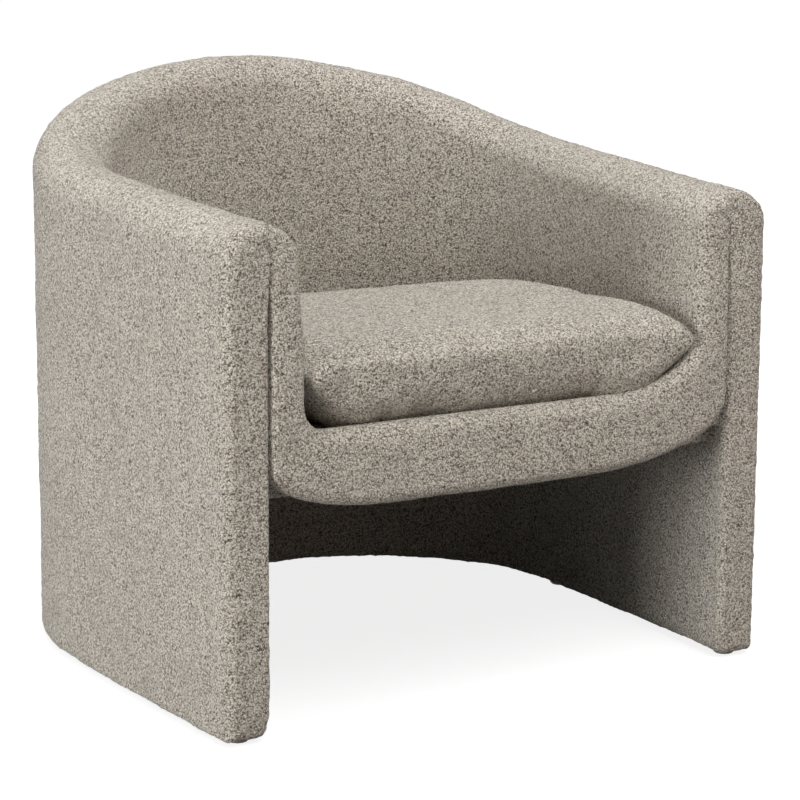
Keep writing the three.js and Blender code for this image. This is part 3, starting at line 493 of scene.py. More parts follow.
def build_band():
    """The one padded strip down an arm's front, along the front rail and up the other arm's front."""
    right = band_side(*RIGHT_CORNERS)
    left = [((-a[0], a[1]), (-b[0], b[1])) for a, b in band_side(*LEFT_CORNERS)[:-1]][::-1]
    pairs = [(np.array(a), np.array(b)) for a, b in right + left]
    crease = np.array([p[0] for p in pairs])
    seat = np.array([p[1] for p in pairs])
    rows = np.array([across(a, b, BAND_COLUMNS) for a, b in pairs])
    flat = rows.reshape(-1, 2)
    fade = smoothstep(flat[:, 1], *BAND_FADE)
    bow = BAND_BOW * (flat[:, 0] / FRONT_HALF) ** 2
    front = BAND_FRONT_Y + lerp(bow, LEG_FRONT_Y - BAND_FRONT_Y, fade)
    depth = WALL_FRONT_Y - front
    to_seat = distance_to(flat, seat)
    to_crease = distance_to(flat, crease)
    width = np.maximum(to_seat + to_crease, 1)
    crown = BAND_CROWN * np.clip(4 * to_seat * to_crease / width**2, 0, 1)
    low_edge = smoothstep(flat[:, 1], *LOW_CREASE_FADE)
    crease_size = [lerp(arm, low, low_edge) for arm, low in zip(ARM_CREASE, LOW_CREASE)]
    into_crease = crease_fall(to_crease, flat[:, 1], *crease_size)
    y = front + bulge(to_seat, np.minimum(depth, SEAT_ROLL)) + into_crease - crown + BAND_CROWN_LOSS
    y = np.minimum(y, WALL_FRONT_Y)
    obj = closed_front("band_front", rows, y, WALL_FRONT_Y + BACKING)
    roughen(obj, soft=0.2, hold=hold_edge)
    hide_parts("band_cover", "band_pad")
    return obj


# Cloth under the front rail, deck and dust sheet

# The rail's cloth: how far it lies over the rail's bottom and behind the fronts, its thickness, how far it
# runs into the walls, its rounded lower front edge, how far it ends above the dust sheet, its steps from side
# to side, and its points down the front, under the rail and down to the sheet
LINING_RISE = 4.0
LINING_SET_BACK = 1.7
LINING_THICK = 2.4
LINING_TUCK = 17.0
LINING_ROUND, LINING_ROUND_MIDDLE, LINING_ROUND_INSIDE = 3.0, 0.9, 3.4
LINING_OVER_SHEET = 1.2
LINING_STEPS = 260
LINING_DOWN, LINING_UNDER, LINING_TO_SHEET = 14, 13, 8

# Room beside the deck and the dust sheet, in front of each, and above the deck
SIDE_ROOM = 0.6
DECK_FRONT_ROOM, DUST_SHEET_FRONT_ROOM = 0.5, 0.4
DECK_TOP_ROOM = 0.5

# Their plan's steps along the wall and the front, and how far behind the front its sides start
PLAN_SIDE_STEPS, PLAN_FRONT_STEPS = 160, 60
PLAN_START = 0.5

# The deck's rounded upper edge, as (share of its plan, height from its top), and the rings inside it
DECK_EDGE = [(1.0, -3.0), (0.996, -0.8), (0.988, 0.0)]
DECK_RINGS = np.linspace(0.97, 0.03, 48)

# The dust sheet's rings, its thickness, how far it hangs and wrinkles in its middle, the length of its
# wrinkles, and how far from its edge they are full
DUST_SHEET_RINGS = np.concatenate([np.linspace(0.03, 0.9, 30), np.linspace(0.92, 1.0, 8)])
DUST_SHEET_THICK = 0.7
DUST_SHEET_SAG = 3.0
DUST_SHEET_WRINKLE = 0.7
DUST_SHEET_WAVE = 60
DUST_SHEET_EDGE = 40.0


def rail_lining_edge(x):
    """Lower edge of the front rail's cloth, which follows the rounded corners of the band."""
    past = np.clip((np.abs(x) - (CREASE_X - RAIL_CORNER[0])) / RAIL_CORNER[0], 0, 1)
    edge = RAIL_BOTTOM + LINING_RISE + RAIL_CORNER[1] * (1 - np.sqrt(1 - past**2))
    return np.clip(edge, RAIL_LINING_LOW, RAIL_LINING_END)


def build_rail_lining():
    """Cloth down the back of the band, under the rail and down to the dust sheet, from side to side."""
    front, back, thick = WALL_FRONT_Y + LINING_SET_BACK, RAIL_LINING_BACK_Y, LINING_THICK
    half = FRONT_HALF - WALL + LINING_TUCK
    under = np.linspace(front + LINING_ROUND, back - thick, LINING_UNDER)
    step_low = DUST_SHEET_Z + LINING_OVER_SHEET
    rings = []
    for x in np.linspace(-half, half, LINING_STEPS):
        low = float(rail_lining_edge(x))
        outline = [(front, z) for z in np.linspace(RAIL_LINING_TOP, low + LINING_ROUND, LINING_DOWN)]
        outline += [(front + LINING_ROUND_MIDDLE, low + LINING_ROUND_MIDDLE)]
        outline += [(y, low) for y in under]
        outline += [(back - thick, z) for z in np.linspace(low, step_low, LINING_TO_SHEET)[1:]]
        outline += [(back, step_low), (back, low + thick)]
        outline += [(y, low + thick) for y in under[::-1]]
        outline += [(front + thick, low + LINING_ROUND_INSIDE), (front + thick, RAIL_LINING_TOP)]
        rings.append([(x, y, z) for y, z in outline])
    columns = len(rings[0])
    faces = grid_faces(len(rings), columns, wrap_columns=True)
    faces.append(tuple(range(columns)))
    faces.append(tuple(range((len(rings) - 1) * columns, len(rings) * columns)))
    obj = add_mesh("front_rail_lining", np.vstack(rings), faces)
    roughen(obj, soft=0.1, fine=0.15, loops=0.2)
    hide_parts("front_rail_cloth")
    return obj


def inner_plan(inset, front_y):
    """Plan of the room between the wall's sides, counter-clockwise from the left front corner."""
    wall = Wall(PLAN_SIDE_STEPS)
    sides = wall.place + inset * wall.inward
    sides = sides[sides[:, 1] > front_y + PLAN_START]
    x = np.linspace(sides[0][0], sides[-1][0], PLAN_FRONT_STEPS)
    return np.vstack([np.stack([x, np.full(len(x), front_y)], 1), sides[::-1]])


def slab(name, plan, levels, lift=None):
    """A closed flat piece from rings, each a share of the plan and a height, with a fan at both ends."""
    centre = np.array([0.0, (plan[:, 1].min() + plan[:, 1].max()) / 2])
    count = len(plan)
    rings = [np.column_stack([centre + (plan - centre) * share, np.full(count, z)]) for share, z in levels]
    points = np.vstack(rings + [[[*centre, levels[0][1]], [*centre, levels[-1][1]]]])
    faces = grid_faces(len(rings), count, wrap_columns=True)
    for first, middle in ((0, len(points) - 2), ((len(rings) - 1) * count, len(points) - 1)):
        faces += [(first + c, first + (c + 1) % count, middle) for c in range(count)]
    if lift is not None:
        points[:, 2] += lift(points)
    return add_mesh(name, points, faces)


def build_deck():
    """The closed cloth that the cushion lies on."""
    plan = inner_plan(BUCKET + SIDE_ROOM, WALL_FRONT_Y + DECK_FRONT_ROOM)
    top = DECK_TOP - DECK_TOP_ROOM
    levels = [(1.0, DECK_BOTTOM)]
    levels += [(share, top + rise) for share, rise in DECK_EDGE]
    levels += [(share, top) for share in DECK_RINGS]
    obj = slab("deck_platform", plan, levels)
    roughen(obj, soft=0.1, fine=0.1, loops=0.15)
    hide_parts("deck_cloth", "deck_pad")
    return obj


def build_dust_sheet():
    """Thin black cloth under the springs, pulled tight at its edge and a little slack in the middle."""
    plan = inner_plan(WALL + SIDE_ROOM, RAIL_LINING_BACK_Y + DUST_SHEET_FRONT_ROOM)
    low = [(share, DUST_SHEET_Z - DUST_SHEET_SAG * (1 - share**2)) for share in DUST_SHEET_RINGS]
    levels = low + [(share, z + DUST_SHEET_THICK) for share, z in low[::-1]]
    waves = Waves(DUST_SHEET_WAVE, seed=21)

    def wrinkles(points):
        from_edge = distance_to(points[:, :2], np.vstack([plan, plan[:1]]))
        return DUST_SHEET_WRINKLE * waves(points * [1, 1, 0]) * smoothstep(from_edge, 0, DUST_SHEET_EDGE)

    obj = slab("dust_sheet", plan, levels, wrinkles)
    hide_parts("dust_cover")
    return obj


# Loose cushion

SEAM_Z = 430.5
CUSHION_TOP = 464.5
CUSHION_FRONT_Y = -384.0
CUSHION_BOW = 1.5
CUSHION_ROOM = 2.5

# Its steps round the wall, and its rings from the seam to the middle, closer together at the seam
CUSHION_STEPS, CUSHION_RINGS, RING_POWER = 120, 36, 1.7


def cushion_plan(inset, count):
    """Closed plan of the cushion, counter-clockwise from the left front corner."""
    wall = Wall(count)
    sides = wall.place + inset * wall.inward
    half = abs(sides[0][0])
    front_steps = count // 3
    x = half * np.sin(np.linspace(-math.pi / 2, math.pi / 2, front_steps + 1))
    front = np.stack([x, CUSHION_FRONT_Y + CUSHION_BOW * (x / half) ** 2], 1)
    return np.vstack([front, sides[::-1]]), sides


# Cloth simulation: size of its mesh, how much smaller it starts and how far a point may move, its frames,
# and where the tips of the front corners are, which keep their shape
VOXEL = 5.5
SHRINK = 3.0
CAP = 6.5
FRAMES = 20
TIP_X = 282.0
TIP_Y = CUSHION_FRONT_Y + 2

# By distance from a tip: where the movement's limit grows from SHRINK to CAP, and where the cloth starts to
# follow the simulation
CAP_ZONE = (10.0, 110.0)
FOLLOW_ZONE = (5.0, 60.0)

# The stuffed cushion stays this far from the deck and the bucket, whose line has so many steps, and comes
# this far before its front
DECK_ROOM = 0.6
BUCKET_ROOM = 0.8
BUCKET_STEPS = 240
FRONT_SWELL = 5.0

# How fast the pillow fills inwards from its seam, as (reach, power): 0 at the seam, 1 at the reach.
# Its right front corner is a slim tip in the photo and its left one is fuller
FRONT_ROLL_TOP = (91.0, 0.33)
FRONT_ROLL_LOW = (60.0, 0.41)
RIGHT_CORNER_LOW = (42.0, 0.36)
RIGHT_TIP_TOP = (24.0, 0.85)
RIGHT_TIP_LOW = (122.0, 0.7)
LEFT_END_TOP = (60.0, 0.55)
LEFT_END_LOW = (90.0, 0.7)
SIDE_BACK = (102.0, 0.34)
CORNER_ZONE = (113.0, 395.0)
RIGHT_CORNER_ZONE = (70.0, 150.0)
LEFT_TO_RIGHT = (-60.0, 60.0)

# How far the cushion's top and seam fall towards the back
CROWN_FALL = 46.0
SEAM_FALL = 30.0
FALL_ZONE = (-94.0, BACK_Y - BUCKET)

# Its underside is drawn deeper than the deck and held over it, so that it lies flat in its middle
UNDERSIDE_DEPTH = 1.12
LOW_ROOM = 0.8


def fullness(distance, reach, power):
    """How full the pillow is at a distance from its seam, from 0 at the seam to 1 at the reach."""
    return (1 - (1 - np.minimum(1, np.maximum(distance, 0) / reach)) ** 2) ** power


def seam_z(spots):
    """Height of the cushion's seam, which falls towards the back."""
    return SEAM_Z - SEAM_FALL * smoothstep(spots[:, 1], *FALL_ZONE)


def cushion_heights(spots, sides, half):
    """Heights of the cushion's top and underside over places in its plan."""
    front_y = CUSHION_FRONT_Y + CUSHION_BOW * (spots[:, 0] / half) ** 2
    from_front = np.maximum(0, spots[:, 1] - front_y)
    line = np.vstack([[sides[0][0], CUSHION_FRONT_Y], sides, [sides[-1][0], CUSHION_FRONT_Y]])
    from_side = distance_to(spots, line)
    to_back = smoothstep(from_front, *CORNER_ZONE)
    to_right = smoothstep(spots[:, 0], *LEFT_TO_RIGHT)

    def side(left_end, right_end):
        reach = lerp(lerp(left_end[0], right_end[0], to_right), SIDE_BACK[0], to_back)
        power = lerp(lerp(left_end[1], right_end[1], to_right), SIDE_BACK[1], to_back)
        return fullness(from_side, reach, power)

    top = fullness(from_front, *FRONT_ROLL_TOP) * side(LEFT_END_TOP, RIGHT_TIP_TOP)
    corner = to_right * (1 - smoothstep(from_side, *RIGHT_CORNER_ZONE))
    roll = [lerp(a, b, corner) for a, b in zip(FRONT_ROLL_LOW, RIGHT_CORNER_LOW)]
    low = fullness(from_front, *roll) * side(LEFT_END_LOW, RIGHT_TIP_LOW)
    crown = CUSHION_TOP - CROWN_FALL * smoothstep(spots[:, 1], *FALL_ZONE)
    seam = seam_z(spots)
    low_z = np.maximum(DECK_TOP + LOW_ROOM, seam - (seam - DECK_TOP) * UNDERSIDE_DEPTH * low)
    return lerp(seam, crown, top), low_z


def build_cushion():
    """The loose cushion as rings from its seam to its middle, above and below, then stuffed."""
    plan, sides = cushion_plan(BUCKET + CUSHION_ROOM, CUSHION_STEPS)
    half = abs(sides[0][0])
    centre = np.array([0.0, (CUSHION_FRONT_Y + BACK_Y - BUCKET) / 2])
    shares = 1 - np.linspace(0, 1, CUSHION_RINGS) ** RING_POWER
    points, faces = [], []
    count = len(plan)
    rings = [centre + (plan - centre) * s for s in shares[:-1]]
    seam = np.column_stack([plan, seam_z(plan)])
    top_rings, low_rings = [seam], [seam]
    for ring in rings[1:]:
        top_z, low_z = cushion_heights(ring, sides, half)
        top_rings.append(np.column_stack([ring, top_z]))
        low_rings.append(np.column_stack([ring, low_z]))
    for stack in (top_rings, low_rings):
        start = len(points)
        block = np.vstack(stack)
        points.extend(block)
        faces += grid_faces(len(stack), count, wrap_columns=True, start=start)
        z = stack[-1][:, 2].mean()
        points.append(np.array([centre[0], centre[1], z]))
        last = start + (len(stack) - 1) * count
        middle = len(points) - 1
        faces += [(last + c, last + (c + 1) % count, middle) for c in range(count)]
    obj = add_mesh("cushion_case", np.array(points), faces, body="cushion")
    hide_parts("cushion_cover", "cushion_core")
    inflate(obj)
    roughen(obj, soft=0.5, fine=0.2, loops=0.3)
    sink_zip(obj)
    return obj


# The groove for the zip: where its walls start and end beside it and past its ends, how far it goes above
# the tape, and how far below the seam the underside starts
GROOVE_SIDE = (6.3, 10.0)
GROOVE_END = (0.8, 5.0)
GROOVE_OVER_TAPE = 1.4
UNDERSIDE_START = 40.0

# The zip from its middle: its tape's edge and its coil's, how thick the tape is, how far the coil lies in it,
# and how their lower edges are cut, across and up; its teeth by pitch, half width, half length and slant,
# how far they stand out of the tape and reach into it, and how far from its ends they start
TAPE_EDGE, COIL_EDGE = 5.6, 1.9
TAPE_THICK, COIL_SUNK = 0.8, 0.35
CUT_ACROSS, CUT_UP = 0.25, 0.15
TOOTH_PITCH, TOOTH_HALF, TOOTH_REACH, TOOTH_SLANT = 1.9, 0.6, 1.6, 0.3
TOOTH_OUT, TOOTH_IN = 0.1, 0.5
TOOTH_MARGIN = 1.5
TAPE_STEPS = 170


def sink_zip(obj):
    """Presses a groove for the zip into the underside of the cushion."""
    spots = coordinates(obj) / MM
    across_zip, along_zip = np.abs(spots[:, 1] - ZIP_Y), np.abs(spots[:, 0])
    beside = smoothstep(across_zip, *GROOVE_SIDE)
    past_end = smoothstep(along_zip, ZIP_HALF + GROOVE_END[0], ZIP_HALF + GROOVE_END[1])
    groove = lerp(DECK_TOP, ZIP_TAPE_Z + GROOVE_OVER_TAPE, (1 - beside) * (1 - past_end))
    under = spots[:, 2] < SEAM_Z - UNDERSIDE_START
    spots[under, 2] = np.maximum(spots[under, 2], groove[under])
    move_to(obj, spots * MM)


def build_zip_tape():
    """Woven tape with a coil of small slanted teeth along its middle, in the cushion's underside."""
    points, faces = [], []

    def bar(x0, x1, y0, y1, z0, z1, slant=0.0, steps=1):
        """A flat bar with its lower edges cut off, beside the zip's line and above or below its tape."""
        y0, y1, z0, z1 = ZIP_Y + y0, ZIP_Y + y1, ZIP_TAPE_Z + z0, ZIP_TAPE_Z + z1
        start = len(points)
        section = [(y0, z1), (y0, z0 + CUT_UP), (y0 + CUT_ACROSS, z0)]
        section += [(y1 - CUT_ACROSS, z0), (y1, z0 + CUT_UP), (y1, z1)]
        for x in np.linspace(x0, x1, steps + 1):
            points.extend((x + slant * (y - ZIP_Y), y, z) for y, z in section)
        count = len(section)
        faces.extend(grid_faces(steps + 1, count, wrap_columns=True, start=start))
        faces.append(tuple(range(start, start + count)))
        faces.append(tuple(range(start + steps * count, start + (steps + 1) * count)))

    for y0, y1 in ((-TAPE_EDGE, -COIL_EDGE), (COIL_EDGE, TAPE_EDGE)):
        bar(-ZIP_HALF, ZIP_HALF, y0, y1, 0, TAPE_THICK, steps=TAPE_STEPS)
    bar(-ZIP_HALF, ZIP_HALF, -COIL_EDGE, COIL_EDGE, COIL_SUNK, TAPE_THICK, steps=TAPE_STEPS)
    for x in np.arange(-ZIP_HALF + TOOTH_MARGIN, ZIP_HALF - TOOTH_MARGIN, TOOTH_PITCH):
        bar(
            x - TOOTH_HALF, x + TOOTH_HALF, -TOOTH_REACH, TOOTH_REACH,
            -TOOTH_OUT, TOOTH_IN, slant=TOOTH_SLANT,
        )
    obj = add_mesh("zip_tape_woven", points, faces, body="cushion", smooth=False)
    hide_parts("cushion_zip_tape")
    return obj


def inflate(obj):
    """Stuffs the cushion with a short cloth simulation, and limits how far each point moves."""
    scene = bpy.context.scene
    remesh = obj.modifiers.new("voxels", "REMESH")
    remesh.mode = "VOXEL"
    remesh.voxel_size = VOXEL * MM
    bake(obj)
    full = coordinates(obj)
    start = full - normals(obj) * SHRINK * MM
    move_to(obj, start)
    cloth = obj.modifiers.new("cloth", "CLOTH")
    settings = cloth.settings
    settings.quality = 6
    settings.mass = 0.3
    settings.tension_stiffness = 12
    settings.compression_stiffness = 12
    settings.shear_stiffness = 5
    settings.bending_stiffness = 0.6
    settings.use_pressure = True
    settings.uniform_pressure_force = 4
    settings.effector_weights.gravity = 0
    settings.shrink_min = -0.02
    for number in range(1, FRAMES + 1):
        scene.frame_set(number)
    bake(obj)
    scene.frame_set(1)
    shift = coordinates(obj) - start
    size = np.linalg.norm(shift, axis=1, keepdims=True)
    tips = np.array([[x, TIP_Y, SEAM_Z] for x in (-TIP_X, TIP_X)]) * MM
    from_tip = np.min([np.linalg.norm(full - tip, axis=1) for tip in tips], axis=0)
    limit = lerp(SHRINK, CAP, smoothstep(from_tip, CAP_ZONE[0] * MM, CAP_ZONE[1] * MM))[:, None] * MM
    swollen = start + shift * np.minimum(1, limit / np.maximum(size, TINY))
    held = smoothstep(from_tip, FOLLOW_ZONE[0] * MM, FOLLOW_ZONE[1] * MM)[:, None]
    move_to(obj, keep_in_seat(full + (swollen - full) * held))
    subdivide = obj.modifiers.new("smooth", "SUBSURF")
    subdivide.levels = 1
    subdivide.render_levels = 1
    bake(obj)
    obj.data.polygons.foreach_set("use_smooth", [True] * len(obj.data.polygons))


def bake(obj):
    """Applies the object's modifiers to its mesh."""
    graph = bpy.context.evaluated_depsgraph_get()
    mesh = bpy.data.meshes.new_from_object(obj.evaluated_get(graph))
    obj.modifiers.clear()
    old = obj.data
    obj.data = mesh
    mesh.name = obj.name
    bpy.data.meshes.remove(old)


def keep_in_seat(points):
    """Holds the cushion above the deck, in front of the back and between the arms."""
    spots = points / MM
    spots[:, 2] = np.maximum(spots[:, 2], DECK_TOP + DECK_ROOM)
    wall = Wall(BUCKET_STEPS)
    line = wall.place + (BUCKET + BUCKET_ROOM) * wall.inward
    inward = wall.inward / np.linalg.norm(wall.inward, axis=1, keepdims=True)
    for i in range(len(spots)):
        near = int(np.argmin(((line - spots[i, :2]) ** 2).sum(1)))
        over = float((line[near] - spots[i, :2]) @ inward[near])
        if over > 0:
            spots[i, :2] += inward[near] * over
    spots[:, 1] = np.maximum(spots[:, 1], CUSHION_FRONT_Y - FRONT_SWELL)
    return spots * MM


# Materials


def new_material(name):
    """A material with its node tree and its main shader."""
    material = bpy.data.materials.new(name)
    material.use_nodes = True
    tree = material.node_tree
    shader = tree.nodes["Principled BSDF"]
    return material, tree, shader


def add(tree, kind, **values):
    """A node with its inputs set from the values named in_ and its own settings from the others."""
    node = tree.nodes.new(kind)
    for key, value in values.items():
        if key.startswith("in_"):
            node.inputs[key[3:].replace("_", " ")].default_value = value
        else:
            setattr(node, key, value)
    return node


def srgb(red, green, blue):
    """A linear colour from levels of 0 to 255 as a picture shows them."""
    def one(c):
        c /= 255
        return c / 12.92 if c <= 0.04045 else ((c + 0.055) / 1.055) ** 2.4

    return (one(red), one(green), one(blue), 1)


def ramp(tree, source, stops):
    """A colour from a value, by (position, colour) stops."""
    node = tree.nodes.new("ShaderNodeValToRGB")
    elements = node.color_ramp.elements
    while len(elements) < len(stops):
        elements.new(0.5)
    for element, (place, colour) in zip(elements, stops):
        element.position = place
        element.color = colour
    tree.links.new(source, node.inputs["Fac"])
    return node.outputs["Color"]


def math_node(tree, operation, *values):
    """Output of a math node that works on numbers and other nodes' outputs."""
    node = tree.nodes.new("ShaderNodeMath")
    node.operation = operation
    for socket, value in zip(node.inputs, values):
        if isinstance(value, (int, float)):
            socket.default_value = value
        else:
            tree.links.new(value, socket)
    return node.outputs[0]


# How far the noise bends the yarns of the looped cloth, in metres
CURL = 0.0035


def boucle(name):
    """Looped cloth: curled yarns a few millimetres across in light and dark tones, with painted light on top
    of the loops and painted shade between them.
    """
    material, tree, shader = new_material(name)
    link = tree.links.new
    place = add(tree, "ShaderNodeTexCoord").outputs["Object"]
    warp = add(tree, "ShaderNodeTexNoise", in_Scale=300.0, in_Detail=2.0)
    link(place, warp.inputs["Vector"])
    curl = add(tree, "ShaderNodeVectorMath", operation="MULTIPLY_ADD")
    link(warp.outputs["Color"], curl.inputs[0])
    curl.inputs[1].default_value = (CURL, CURL, CURL)
    link(place, curl.inputs[2])
    curled = curl.outputs[0]

    def noise(scale, detail, roughness, vector):
        node = add(tree, "ShaderNodeTexNoise", in_Scale=scale, in_Detail=detail, in_Roughness=roughness)
        link(vector, node.inputs["Vector"])
        return node.outputs["Fac"]

    loops = add(tree, "ShaderNodeTexVoronoi", in_Scale=500.0, in_Randomness=1.0)
    link(curled, loops.inputs["Vector"])
    crown = math_node(tree, "SUBTRACT", 1.0, loops.outputs["Distance"])
    strands = noise(1200.0, 2.0, 0.6, curled)
    clumps = noise(150.0, 2.0, 0.5, place)
    height = math_node(tree, "MULTIPLY_ADD", strands, 0.5, crown)
    height = math_node(tree, "MULTIPLY_ADD", clumps, 0.35, height)
    bump = add(tree, "ShaderNodeBump", in_Strength=1.0, in_Distance=0.003)
    link(height, bump.inputs["Height"])
    link(bump.outputs["Normal"], shader.inputs["Normal"])

    shade = add(tree, "ShaderNodeSeparateColor")
    link(loops.outputs["Color"], shade.inputs[0])
    level = math_node(tree, "MULTIPLY_ADD", shade.outputs[0], 0.26, 0.0)
    # Tops of the loops lighter and the gaps between them darker, by their height: painted light and painted
    # shade.
    level = math_node(tree, "MULTIPLY_ADD", crown, 0.5, level)
    level = math_node(tree, "MULTIPLY_ADD", noise(950.0, 3.0, 0.8, curled), 0.75, level)
    # The ramp's dark end is partly dark yarns and partly painted shade between the loops, its light end
    # partly light yarns and partly painted light on their tops.
    colour = ramp(tree, level, [
        (0.49, srgb(40, 26, 20)), (0.63, srgb(142, 126, 111)),
        (0.77, srgb(216, 206, 189)), (0.93, srgb(255, 250, 238)),
    ])
    tone = ramp(tree, noise(9.0, 2.0, 0.5, place), [(0.3, (0.93, 0.93, 0.93, 1)), (0.7, (1.0, 1.0, 1.0, 1))])
    mix = add(tree, "ShaderNodeMix", data_type="RGBA", blend_type="MULTIPLY")
    mix.inputs[0].default_value = 1.0
    link(colour, mix.inputs[6])
    link(tone, mix.inputs[7])
    link(mix.outputs[2], shader.inputs["Base Color"])
    shader.inputs["Roughness"].default_value = 0.92
    shader.inputs["Specular IOR Level"].default_value = 0.15
    shader.inputs["Sheen Weight"].default_value = 0.25
    shader.inputs["Sheen Roughness"].default_value = 0.6
    return material


# Depth of the relief of the other finishes, in metres
RELIEF = 0.0006


def simple(name, low, high, scale, roughness, bump=0.3, stretch=(1, 1, 1), metal=0.0):
    """A mottled or grained finish from stretched noise between two colours."""
    material, tree, shader = new_material(name)
    link = tree.links.new
    place = add(tree, "ShaderNodeTexCoord").outputs["Object"]
    mapping = add(tree, "ShaderNodeMapping")
    mapping.inputs["Scale"].default_value = stretch
    link(place, mapping.inputs["Vector"])
    noise = add(
        tree, "ShaderNodeTexNoise", in_Scale=scale, in_Detail=5.0, in_Roughness=0.6, in_Distortion=0.4,
    )
    link(mapping.outputs[0], noise.inputs["Vector"])
    link(ramp(tree, noise.outputs["Fac"], [(0.3, low), (0.7, high)]), shader.inputs["Base Color"])
    relief = add(tree, "ShaderNodeBump", in_Strength=bump, in_Distance=RELIEF)
    link(noise.outputs["Fac"], relief.inputs["Height"])
    link(relief.outputs["Normal"], shader.inputs["Normal"])
    rough = ramp(tree, noise.outputs["Fac"], [
        (0.2, (roughness - 0.08,) * 3 + (1,)), (0.8, (min(1, roughness + 0.08),) * 3 + (1,)),
    ])
    link(rough, shader.inputs["Roughness"])
    shader.inputs["Metallic"].default_value = metal
    return material


finishes = {
    "boucle": boucle("boucle_taupe"),
    "foam": simple("foam_cream", srgb(226, 217, 180), srgb(240, 233, 205), 260, 0.9),
    "timber": simple("timber_pine", srgb(176, 136, 88), srgb(212, 176, 126), 22, 0.6, stretch=(1, 1, 12)),
    "plywood": simple("plywood_birch", srgb(196, 166, 118), srgb(222, 196, 152), 18, 0.6, stretch=(6, 6, 1)),
    "felt": simple("felt_grey", srgb(96, 92, 86), srgb(134, 129, 121), 420, 0.95, bump=0.6),
    "webbing": simple("webbing_jute", srgb(122, 105, 78), srgb(158, 140, 108), 300, 0.9, stretch=(1, 1, 6)),
    "dust_cloth": simple("dust_cloth_black", srgb(22, 21, 20), srgb(38, 36, 34), 600, 0.95, bump=0.4),
    "spring_steel": simple("spring_steel", srgb(118, 120, 124), srgb(150, 152, 156), 90, 0.38, metal=0.9),
    "zip_tape": simple("zip_tape", srgb(98, 90, 79), srgb(122, 113, 100), 700, 0.85, stretch=(4, 1, 1)),
    "zip_metal": simple("zip_metal", srgb(132, 128, 120), srgb(160, 156, 148), 120, 0.4, metal=0.85),
    "glide_plastic": simple("glide_plastic", srgb(84, 70, 58), srgb(112, 95, 80), 160, 0.5, bump=0.15),
}
slots = {s["node"]: s["material_slot"] for s in frame["record"]["subparts"]}
for name, node in nodes.items():
    node.data.materials.clear()
    node.data.materials.append(finishes[slots[name]])

made = [
    (build_wall(), "boucle"),
    (build_facing("right", False), "boucle"), (build_facing("left", True), "boucle"),
    (build_band(), "boucle"), (build_rail_lining(), "boucle"), (build_deck(), "boucle"),
    (build_cushion(), "boucle"), (build_dust_sheet(), "dust_cloth"), (build_zip_tape(), "zip_tape"),
]
for obj, slot in made:
    obj.data.materials.clear()
    obj.data.materials.append(finishes[slot])


# Camera at the photo's view

LENS_PIXELS = 2713.7
FRAME_PIXELS = 800.0
SENSOR = 36.0
AZIMUTH, PITCH, ROLL_ANGLE = math.radians(31.21), math.radians(11.35), math.radians(0.26)
DISTANCE = 3619.45
CENTRE = (0, 8, 370)
SHIFT_RIGHT, SHIFT_DOWN = 65.71, 56.2

level = math.cos(PITCH)
back = Vector((-math.sin(AZIMUTH) * level, -math.cos(AZIMUTH) * level, math.sin(PITCH)))
right = Vector((math.cos(AZIMUTH), -math.sin(AZIMUTH), 0))
up = back.cross(right)
target = Vector(CENTRE) + right * SHIFT_RIGHT - up * SHIFT_DOWN
turned_right = right * math.cos(ROLL_ANGLE) + up * math.sin(ROLL_ANGLE)
turned_up = up * math.cos(ROLL_ANGLE) - right * math.sin(ROLL_ANGLE)

camera_data = bpy.data.cameras.new("camera")
camera_data.sensor_width = SENSOR
camera_data.lens = SENSOR * LENS_PIXELS / FRAME_PIXELS
camera_data.clip_end = 50
camera = bpy.data.objects.new("camera", camera_data)
bpy.context.scene.collection.objects.link(camera)
basis = Matrix((turned_right, turned_up, back)).transposed().to_4x4()
camera.matrix_world = Matrix.Translation((target + back * DISTANCE) * MM) @ basis
bpy.context.scene.camera = camera


# Light, floor and background

scene = bpy.context.scene
scene.view_settings.view_transform = "Standard"

WHITE = (1.0, 1.0, 1.0)
WARM = (1.0, 0.82, 0.72)
MIDDLE = (0.0, 0.0, 0.4)


def area_light(name, spot, aim, size, power, colour=WHITE):
    """A round lamp at a spot, turned to another, with its size in metres and power in watts."""
    data = bpy.data.lights.new(name, "AREA")
    data.shape = "DISK"
    data.size = size
    data.energy = power
    data.color = colour
    light = bpy.data.objects.new(name, data)
    light.location = spot
    light.rotation_euler = (Vector(aim) - Vector(spot)).to_track_quat("-Z", "Y").to_euler()
    scene.collection.objects.link(light)


area_light("side_low", (-4.2, -0.9, 0.75), MIDDLE, 1.4, 113)
area_light("side_high", (-3.2, -0.6, 3.0), MIDDLE, 2.6, 32)
area_light("top_right", (1.6, -0.6, 3.8), MIDDLE, 2.6, 42)
area_light("top_front", (0.0, -2.4, 3.6), MIDDLE, 2.6, 92)
area_light("top_back", (0.2, 1.8, 3.8), MIDDLE, 2.6, 52)
area_light("front", (0.9, -4.2, 0.8), (0, 0, 0.35), 2.4, 8, WARM)
area_light("front_right", (1.8, -2.2, 0.55), (0.36, -0.38, 0.4), 1.2, 6, WARM)


def looked_at(tree):
    """1 where the camera sees a surface, itself or in a reflection or through glass, and 0 for its light."""
    path = tree.nodes.new("ShaderNodeLightPath")
    either = math_node(tree, "MAXIMUM", path.outputs["Is Camera Ray"], path.outputs["Is Glossy Ray"])
    return math_node(tree, "MAXIMUM", either, path.outputs["Is Transmission Ray"])


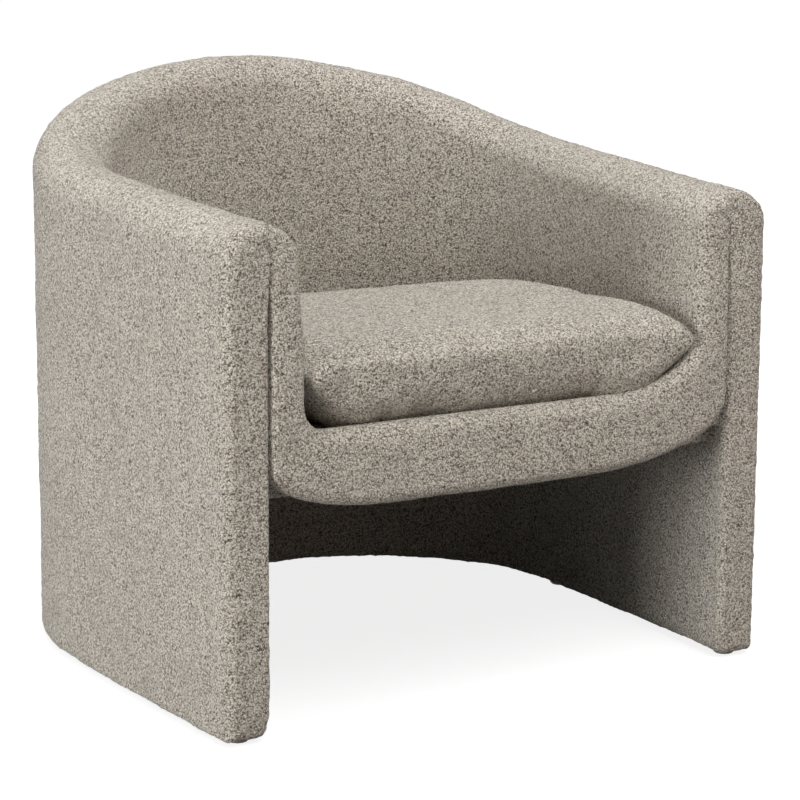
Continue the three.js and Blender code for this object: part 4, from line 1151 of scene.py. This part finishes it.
def build_world():
    """A background that looks white and lights the chair only a little."""
    world = bpy.data.worlds.new("studio")
    scene.world = world
    world.use_nodes = True
    tree = world.node_tree
    tree.nodes.clear()
    output = tree.nodes.new("ShaderNodeOutputWorld")
    seen = add(tree, "ShaderNodeBackground", in_Color=(*WHITE, 1), in_Strength=1.0)
    lit = add(tree, "ShaderNodeBackground", in_Color=(*WHITE, 1), in_Strength=0.1)
    mix = tree.nodes.new("ShaderNodeMixShader")
    tree.links.new(looked_at(tree), mix.inputs[0])
    tree.links.new(lit.outputs[0], mix.inputs[1])
    tree.links.new(seen.outputs[0], mix.inputs[2])
    tree.links.new(mix.outputs[0], output.inputs[0])


# The floor's glow to the camera, from under the chair outwards, by distance in metres
GLOW = {"From Min": 0.7, "From Max": 2.2, "To Min": 0.84, "To Max": 1.0}


def build_floor():
    """A floor to the horizon of the photo's view, white to the camera but for the chair's soft shadow."""
    mesh = bpy.data.meshes.new("floor")
    work = bmesh.new()
    bmesh.ops.create_grid(work, x_segments=40, y_segments=40, size=60)
    work.to_mesh(mesh)
    work.free()
    floor = bpy.data.objects.new("floor", mesh)
    scene.collection.objects.link(floor)
    material, tree, shader = new_material("floor_white")
    shader.inputs["Base Color"].default_value = (0.3, 0.3, 0.3, 1)
    shader.inputs["Roughness"].default_value = 1.0
    shader.inputs["Specular IOR Level"].default_value = 0.0
    place = tree.nodes.new("ShaderNodeTexCoord")
    distance = tree.nodes.new("ShaderNodeVectorMath")
    distance.operation = "LENGTH"
    tree.links.new(place.outputs["Object"], distance.inputs[0])
    spread = tree.nodes.new("ShaderNodeMapRange")
    spread.interpolation_type = "SMOOTHSTEP"
    tree.links.new(distance.outputs["Value"], spread.inputs["Value"])
    for socket, value in GLOW.items():
        spread.inputs[socket].default_value = value
    strength = math_node(tree, "MULTIPLY", looked_at(tree), spread.outputs["Result"])
    glow = tree.nodes.new("ShaderNodeEmission")
    tree.links.new(strength, glow.inputs["Strength"])
    total = tree.nodes.new("ShaderNodeAddShader")
    tree.links.new(shader.outputs[0], total.inputs[0])
    tree.links.new(glow.outputs[0], total.inputs[1])
    tree.links.new(total.outputs[0], tree.nodes["Material Output"].inputs["Surface"])
    mesh.materials.append(material)


build_world()
build_floor()
